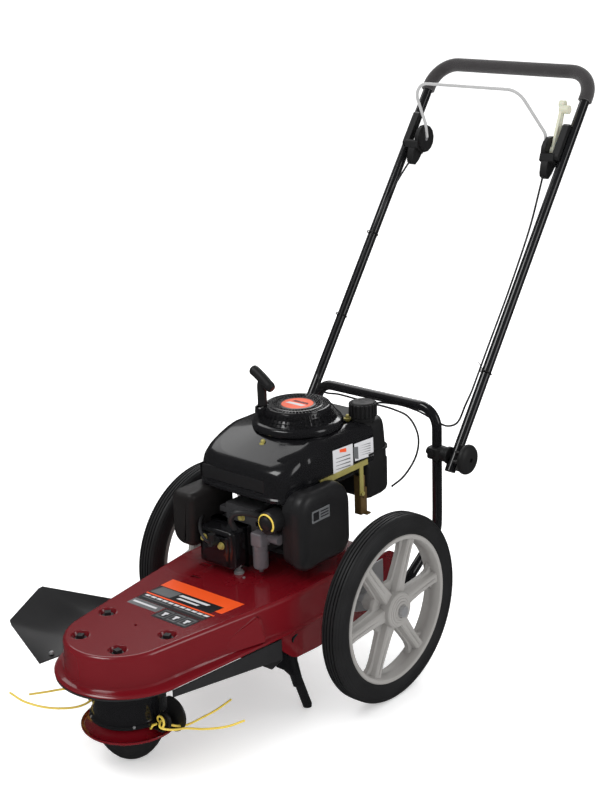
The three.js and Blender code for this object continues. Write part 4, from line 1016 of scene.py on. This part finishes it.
ties = Shape()
for x, z, tail in ((-220, 830, (18, -4, 12)), (-220, 655, (16, -6, 13)), (220, 600, (-6, -8, 20))):
    tie(ties, on_tube(x, z, 2.4), up, 13.6, ((0, -11, 8), tail))
piece("cable_ties", ties, SATIN, "handle")

# ---- engine -------------------------------------------------------------------------------------
CRANK = (0, CRANK_Y, 0)
SHROUD = {"left": 114, "right": 148, "front": 182, "rear": 84}


def smooth(t):
    t = min(max(t, 0), 1)
    return t * t * (3 - 2 * t)


def fall(dy):
    """How far the top drops towards the front, over the cylinder."""
    return 44 * min(max((-dy - 46) / 136, 0), 1) ** 1.35


SHROUD_STEPS = 160


def shroud_ring(inset, z, drop=1.0, power=7.0):
    """The shroud's outline at a height, which drops by a share of the top's fall."""
    ring = []
    for c, s in on_circle(1, SHROUD_STEPS):
        along = (SHROUD["left"] if c > 0 else SHROUD["right"]) - inset
        across = (SHROUD["rear"] if s > 0 else SHROUD["front"]) - inset
        r = (abs(c / along) ** power + abs(s / across) ** power) ** (-1 / power)
        ring.append((r * c, CRANK_Y + r * s, z - drop * fall(r * s)))
    return ring


SHROUD_OUTSIDE = (
    (1, 440, 0), (0, 441.6, 0), (0, 447, 0), (2.4, 450, 0), (3, 480, 0.4), (4.4, 522), (5.4, 530, 1, 6.6),
    (8, 536.6, 1, 6), (12.4, 541.4, 1, 5.6), (18.4, 544, 1, 5), (26, 545, 1, 4.4), (27, 545.1, 1, 4.4),
)
SHROUD_INSIDE = ((24, 540, 1, 4.4), (9, 518), (5, 441, 0))
# The round hole in the top, under the recoil cover.
lips = [
    [(x, y, z) for x, y in on_circle(radius, SHROUD_STEPS, centre=(0, CRANK_Y))]
    for radius, z in ((88, 546.6), (68, 546), (68, 542.5))
]
outside, inside = ([shroud_ring(*s) for s in rings] for rings in (SHROUD_OUTSIDE, SHROUD_INSIDE))
shroud = Shape().add(lofted(outside + lips + inside, looped=True))
mouth = cutter(soft_block(-124, 60, -175, -144, 456, 484, 12, 3))
piece("shroud_shell", shroud, GLOSS, "chassis", ["engine_shroud"], crease=26, cutters=[mouth])
duct = Shape().add(soft_block(-126, 62, -148, -134, 454, 486, 12, 3))
piece("shroud_mouth", duct, SATIN, "chassis", crease=34)


# The near side carries a long cheek whose rolled edge runs back over the tank.
def cheek_ring(y):
    drop = 0.92 * fall(y - CRANK_Y)
    swell = smooth((y + 118) / 50) * smooth((150 - y) / 14)
    x = 96 + 22.6 * swell
    section = [
        (x - 3, 457), (x, 458), (x, 512), (x - 1.4, 524), (x - 6, 534), (x - 14, 541), (x - 26, 545.4),
        (x - 34, 546.6), (x - 34, 541), (x - 16, 535), (x - 6, 520), (x - 4, 460),
    ]
    return [(px, y, pz - drop * (0.25 + 0.75 * (pz - 471) / 75)) for px, pz in section]


cheek = Shape().add(lofted([cheek_ring(-112 + 262 * i / 60) for i in range(61)]))
piece("shroud_cheek", cheek, GLOSS, "chassis", crease=40)

recoil = Shape().add(lathe([
    (0, 591), (32, 591), (34, 590), (66, 589.4), (70, 590.4), (71.6, 588.6), (73.4, 584.6), (72.4, 583.6),
    (75, 579), (77.4, 578.6), (76.6, 577), (80, 572.4), (82, 572), (81.4, 570.4), (85, 565.4), (88, 564.6),
    (94, 562.6), (97, 559), (98, 554), (98, 549), (97, 547.2), (94, 547.2), (94, 556), (85, 561), (68, 586),
    (0, 587),
], CRANK, "z", 96))
for count, r0, r1, half, top, corner in ((54, 54, 67.6, 1.3, 592.8, 1.2), (44, 39, 52, 1.2, 592.6, 1.1)):
    for k in range(count):
        bump = soft_block(r0, r1, -half, half, 588, top, corner, 0.6, 2)
        recoil.add(bump, turn=about_z(360 / count * k), shift=CRANK)
recoil.add(lathe([
    (51.6, 588), (51.6, 592.4), (52, 592.8), (54, 592.8), (54.6, 592.4), (54.6, 588),
], CRANK, "z", 96, closed=True))
recoil.add(lathe([
    (67, 588), (67, 592.6), (68, 593), (69.6, 592.6), (70.6, 590), (70.6, 588),
], CRANK, "z", 96, closed=True))
for k in range(48):
    turn = about_z(7.5 * k)
    for r, z in ((73.6, 583.6), (78.2, 577), (83, 570.4)):
        recoil.add(sweep([(r - 1.4, 0, z + 3), (r + 2, 0, z - 2.4)], 1.9, 6), turn=turn, shift=CRANK)
piece("recoil_shell", recoil, GLOSS, "chassis", ["recoil_cover"], crease=34)
badge = Shape().add(lathe([(0, 593.2), (34, 593), (34.6, 592.4), (34.6, 590), (0, 590)], CRANK, "z", 64), 0)
badge.add(lathe([
    (34.6, 590), (34.6, 592.9), (37, 593), (39, 592.4), (39, 590),
], CRANK, "z", 64, closed=True), 1)
badge.add(prism([(-24, 18), (20, 18), (24, 28), (-20, 28)], 593.1, 593.5), 2)
badge.add(prism([(-18, 34), (24, 34), (20, 42), (-16, 42)], 593.1, 593.5), 3)
piece("recoil_badge", badge, [ORANGE, INK, PAPER, RED], "chassis")

bolt_heads = Shape()
for x, y, z in ((-4, -79, 534), (60, 123, 545), (-92, 60, 545)):
    bolt_heads.add(rod((x, y, z - 8), (x, y, z + 6), 5.4, 6))
    bolt_heads.add(lathe([
        (0, z + 8.4), (3, z + 8.2), (4.6, z + 6.4), (4.6, z + 5), (0, z + 5),
    ], (x, y, 0), "z", 20))
    bolt_heads.add(lathe([
        (0, z + 1), (8, z + 0.6), (8.4, z - 1), (8.4, z - 4), (0, z - 4),
    ], (x, y, 0), "z", 24))
for x, y, z in ((-62, -208, 352), (-14, -208, 344), (12, -170, 402)):
    bolt_heads.add(rod((x, y, z), (x, y - 8, z), 5.6, 6))
    bolt_heads.add(rod((x, y, z), (x, y - 2, z), 8, 24))
piece("cover_bolts", bolt_heads, ZINC, "chassis", bevel=0.5)

ROPE_AT = (-50, -26)
ferrule = Shape().add(lathe([
    (12.4, 578), (17, 580), (16, 591), (14.4, 593), (12.4, 592),
], (*ROPE_AT, 0), "z", 40, closed=True))
piece("rope_eyelet", ferrule, GLOSS, "chassis")
rope = Shape().add(sweep([(*ROPE_AT, 582 + i) for i in range(21)], 2.4, 12))
rope_piece = piece("pull_rope", rope, ROPE, None, ["starter_rope"])
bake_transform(rope_piece)
grip = Shape().add(sweep(eased([
    (*ROPE_AT, 594), (*ROPE_AT, 616), (*ROPE_AT, 638), (-46, -26, 652),
], 8), [9.4, 10, 10.4] + [10] * 26, 24))
bar = eased([(-76, -26, 670), (-66, -26, 666), (*ROPE_AT, 656), (-34, -26, 644), (-20, -26, 634)], 6)
grip.add(sweep(bar, [7.4, 9.6, 10.6] + [11.4] * (len(bar) - 6) + [10.6, 9.6, 7.4], 24))
piece("pull_grip", grip, MOULDED, "starter_handle", ["starter_grip"], crease=60)

# ---- tank, filter, carburettor ------------------------------------------------------------------
def tank_ring(z, inset, notched=False):
    """The tank's outline at a height: round at the back and straight along the engine."""
    x0, x1, y0, y1, r = -96 + inset, 120 - inset, 114 + inset, 204 - inset, 34
    ring = []
    for (cx, cy), start in (((x1 - r, y1 - r), 0), ((x0 + r, y1 - r), 90)):
        ring += on_circle(r, 11, start, 9, (cx, cy))
    ring += [(x0, y0 + 8), (x0 + 3, y0 + 3), (x0 + 8, y0)]
    ring += [(x0 + 8 + (x1 - x0 - 16) * i / 32, y0) for i in range(1, 32)]
    ring += [(x1 - 8, y0), (x1 - 3, y0 + 3), (x1, y0 + 8)]
    if notched:
        reach = 100 + inset
        ring = [(x, max(y, CRANK_Y + math.sqrt(max(reach * reach - x * x, 0)))) for x, y in ring]
    return [(x, y, z) for x, y in ring]


CAP_AT = (88, 141, 0)
TANK_RINGS = (
    (370, 12), (371.6, 6), (377, 1.6), (384, 0), (446, 0), (449, 1.6), (470.6, 1.8), (471, -0.9),
    (475.6, -0.9), (476, 1.6), (482, 3), (520, 5), (531, 6.6), (537, 9), (541, 14, True), (543, 20, True),
)
tank = Shape().add(lofted([tank_ring(*s) for s in TANK_RINGS]))
tank.add(lathe([
    (24, 530), (24, 542), (26.4, 545), (27, 551), (25.6, 552), (0, 552), (0, 530),
], CAP_AT, "z", 48))
piece("tank_body", tank, MOULDED, "chassis", ["fuel_tank"], crease=34)
cap = Shape().add(lathe([
    (0, 585.2), (9, 585), (10.4, 584), (20, 583.6), (24, 583), (26.6, 580.8), (27.6, 577), (27.6, 554),
    (26.4, 552.4), (0, 552.4),
], CAP_AT, "z", 60))
for k in range(20):
    rib = soft_block(26, 30.6, -2.6, 2.6, 553, 581, 1.8, 1.6, 4)
    cap.add(rib, turn=about_z(18 * k), shift=CAP_AT)
piece("tank_cap_ribbed", cap, MOULDED, "tank_cap", ["fuel_cap"], crease=40)


def filter_ring(x, inset):
    """The air filter box's outline in Y and Z, seen from the side, with big round corners."""
    y0, y1, z0, z1 = -149 + inset, 13 - inset, 299 + inset, 467 - inset
    outline = round_box(((52, y1, z1), (40, y0, z1), (24, y0, z0), (34, y1, z0)), 13, 7.5)
    return [(x, y, z) for y, z in outline]


FILTER_RINGS = (
    (123.8, 3), (124.2, 1), (130, 0), (140, 0.4), (146, 1.8), (150.4, 4.4), (153.6, 8.4), (155.8, 14),
    (156.8, 21), (157, 26),
)
PRIMER = (80, 0, 404)
BACKING_RINGS = ((94, 14), (95, 9), (98, 6), (110, 4.6), (123.6, 4))
box = Shape().add(lofted([filter_ring(*s) for s in FILTER_RINGS]))
piece("filter_box", box, SATIN, "chassis", ["air_filter_cover"], crease=34)
# Each square is y0, y1, z0, z1, how far out it starts and ends, and its colour.
squares = [(-118, -62, 404, 430, 157.1, 157.6, 0), (-114, -96, 408, 426, 157.5, 157.9, 1)]
squares += [(-91, -66, 410 + 6 * k, 412.4 + 6 * k, 157.5, 157.9, 1) for k in range(3)]
patch = Shape()
for y0, y1, z0, z1, low, high, slot in squares:
    patch.add(prism([(y0, z0), (y1, z0), (y1, z1), (y0, z1)], low, high, "yz"), slot)
piece("filter_patch", patch, [SLATE, INK], "chassis")

backing = Shape().add(lofted([filter_ring(*s) for s in BACKING_RINGS]))
backing.add(lathe([
    (12, -172), (23, -172), (25, -170), (25.4, -166), (25.4, -132), (18, -132), (18, -164), (12, -165),
], PRIMER, "y", 48, closed=True))
backing.add(rod((80, -150, 404), (96, -120, 400), 15, 24))
backing.add(soft_block(66, 96, -140, -118, 386, 424, 6, 4))
piece("filter_backing", backing, SATIN, "chassis", ["air_filter_base"], crease=34)
button = Shape().add(lathe([
    (0, -180), (7, -179.8), (12, -178.6), (15.4, -175.6), (16.6, -171.6), (16.6, -164.6), (0, -164.6),
], PRIMER, "y", 48))
piece("primer_button", button, MOULDED, "primer", ["primer_bulb"], crease=50)
primer_path = [(x, -172.6, z) for x, z in on_circle(20, 41, -40, 6.875, (PRIMER[0], PRIMER[2]))]
arc = Shape().add(sweep(primer_path, 2.1, 8, flat=0.5))
piece("primer_arc", arc, LINE, "chassis")

carb = Shape().add(lathe([
    (0, 352.6), (4, 352.4), (6, 350.6), (11, 350), (15, 348.6), (16, 346), (16, 338), (15.2, 336.6),
    (15.2, 334), (16, 332.6), (16, 300), (14.6, 296), (10, 293), (6, 292), (0, 292),
], (50, -160, 0), "z", 48))
carb.add(soft_block(36, 66, -176, -144, 345, 376, 5, 4))
carb.add(rod((64, -146, 362), (93, -146, 362), 11, 28))
carb.add(rod((50, -160, 286), (50, -160, 294), 4.6, 6))
piece("fuel_bowl", carb, ALLOY, "chassis", ["carburettor"], crease=34)
hose = Shape().add(sweep(eased([
    (-4, -176, 372.6), (-8, -184, 394), (4, -184, 412), (28, -170, 414), (53, -150, 404),
], 9), 6.5, 20))
piece("vent_hose", hose, RUBBER, "chassis", ["breather_hose"], crease=60)

valve = Shape().add(soft_block(-86, 10, -202, -147, 290, 372, 11, 7))
valve.add(soft_block(-78, 2, -206, -196, 298, 362, 9, 4))
valve.add(soft_block(-90, 14, -153, -147, 286, 376, 12, 2))
for x in (-70, -6):
    valve.add(rod((x, -206, 304), (x, -209, 304), 5, 20))
piece("rocker_cover", valve, GLOSS, "chassis", ["valve_cover"], crease=34)

def guard_ring(y, inset):
    """The guard's outline in X and Z, rounded more at its foot."""
    x0, x1, z0, z1 = -154 + inset, -91 - inset, 318 + inset, 438 - inset
    outline = round_box(((12, x1, z1), (14, x0, z1), (26, x0, z0), (14, x1, z0)), 10, 10)
    return [(x, y, z) for x, z in outline]


guard = Shape().add(lofted([
    guard_ring(*s)
    for s in (
        (-84, 6), (-85, 2.4), (-89, 0), (-198, 0), (-205, 1.8), (-209.4, 5), (-211.6, 9.6), (-212, 13),
    )
]))
piece("muffler_guard", guard, GUARD, "chassis", ["muffler"], crease=40)

# ---- smaller engine parts -----------------------------------------------------------------------
lead = Shape().add(sweep(eased([
    (-28, -224, 353), (-36, -232, 360), (-60, -222, 372), (-84, -196, 380), (-100, -170, 384),
], 8), 3.4, 14))
lead.add(sweep(eased([(-28, -204, 352), (-28, -229, 353)], 3), 7.6, 20))
piece("plug_lead", lead, RUBBER, "chassis", crease=60)

CHEEK_SIDE = 118.6


def side_label(shape, y0, y1, z0, z1, slot, lift=0.4):
    """A plain patch on the cheek's flat side."""
    outline = [(y0, z0 + 4), (y1, z0 - 1), (y1 - 1, z1 - 1), (y0 - 1, z1 + 2)]
    shape.add(prism(outline, CHEEK_SIDE - 0.1, CHEEK_SIDE + lift, "yz"), slot)


stickers = Shape()
side_label(stickers, 0, 66, 460, 517, 0)
side_label(stickers, 72, 136, 470, 511, 0)
side_label(stickers, 22, 44, 505, 514, 1, 0.6)
for k in range(4):
    side_label(stickers, 9, 57, 470 + 8 * k, 473 + 8 * k, 2, 0.55)
side_label(stickers, 69, 84, 477, 505, 2, 0.55)
for k in range(5):
    side_label(stickers, 90, 126, 478 + 5.4 * k, 480 + 5.4 * k, 2, 0.55)
piece("shroud_labels", stickers, [PAPER, ORANGE, SLATE], "chassis")

# The speed control: an upright bar with a strap beside it and a foot.
bracket = Shape()
for block in (
    (114, 118, 92, 112, 344, 404), (100, 118, 90, 94, 344, 432), (112, 128, 98, 112, 344, 348),
    (115, 118, 96, 106, 404, 432),
):
    bracket.add(brick(*block))
bracket.add(rod((117, 102, 386), (121, 102, 386), 5, 20))
piece("speed_bracket", bracket, BRASSY, "chassis", ["control_plate"], bevel=0.8)

# ---- the CAD parts that stay ---------------------------------------------------------------------
KEPT = {
    "spindle_shaft": STEEL, "spindle_pulley": SATIN, "drive_belt": RUBBER, "idler_pulley": MOULDED,
    "idler_arm": GREY, "idler_spring": STEEL, "axle": STEEL, "engine_block": CAST, "crankshaft": STEEL,
    "crank_pulley": SATIN, "flywheel_fan": CAST, "spark_plug": MOULDED, "dipstick": LINE,
    "governor_arm": ZINC,
}

for name, finish in KEPT.items():
    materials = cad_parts[name].data.materials
    for i in range(len(materials)):
        materials[i] = finish

# ---- floor, light and world ---------------------------------------------------------------------
FLOOR_HALF, DOME_R = 38, 34000
floor_corners = [(x * FLOOR_HALF, y * FLOOR_HALF, 0) for x, y in ((-1, -1), (1, -1), (1, 1), (-1, 1))]
floor = mesh_object("floor", floor_corners, [(0, 1, 2, 3)], [FLOOR])
floor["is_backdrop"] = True
floor.visible_glossy = False

GLOW = bpy.data.materials.new("backdrop_glow")
GLOW.use_nodes = True
GLOW.node_tree.nodes.clear()
lamp = GLOW.node_tree.nodes.new("ShaderNodeEmission")
lamp.inputs["Color"].default_value = (1, 1, 1, 1)
lamp.inputs["Strength"].default_value = 1.05
surface = GLOW.node_tree.nodes.new("ShaderNodeOutputMaterial").inputs["Surface"]
GLOW.node_tree.links.new(lamp.outputs["Emission"], surface)
GLOW.cycles.emission_sampling = "NONE"

# A white dome that lights the floor and backs the view but leaves no glare on the black paint.
dome_verts, dome_faces = lathe(on_circle(DOME_R, 16, -4, 5.875) + [(0, DOME_R)], segments=48)
backdrop = mesh_object("backdrop", [point(*v) for v in dome_verts], dome_faces, [GLOW])
backdrop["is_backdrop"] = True
backdrop.visible_glossy = False
backdrop.visible_shadow = False

world = bpy.data.worlds.new("studio")
world.use_nodes = True
sky = world.node_tree.nodes["Background"]
sky.inputs["Color"].default_value = (1, 1, 1, 1)
sky.inputs["Strength"].default_value = 0.04
bpy.context.scene.world = world


def panel(name, centre, target, size, watts):
    light = bpy.data.lights.new(name, "AREA")
    light.shape, light.size, light.size_y, light.energy = "RECTANGLE", size[0], size[1], watts
    obj = bpy.data.objects.new(name, light)
    obj.location = centre
    obj.rotation_mode = "QUATERNION"
    obj.rotation_quaternion = (Vector(target) - Vector(centre)).to_track_quat("-Z", "Y")
    bpy.context.scene.collection.objects.link(obj)


panel("key", (-0.8, -2.2, 3.6), (0, 0, 0.4), (1.8, 1.2), 30)
panel("side", (3.4, 0.6, 1.8), (0, 0, 0.5), (1.2, 2.0), 14)
panel("back", (-1.5, 3.0, 2.6), (0, 0, 0.5), (2.4, 1.2), 30)
panel("top", (-2.0, 0.8, 2.7), (0, -0.2, 0.5), (1.7, 1.6), 10)

scene = bpy.context.scene
scene.view_settings.view_transform = "Standard"
scene.view_settings.look = "None"

low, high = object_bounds()
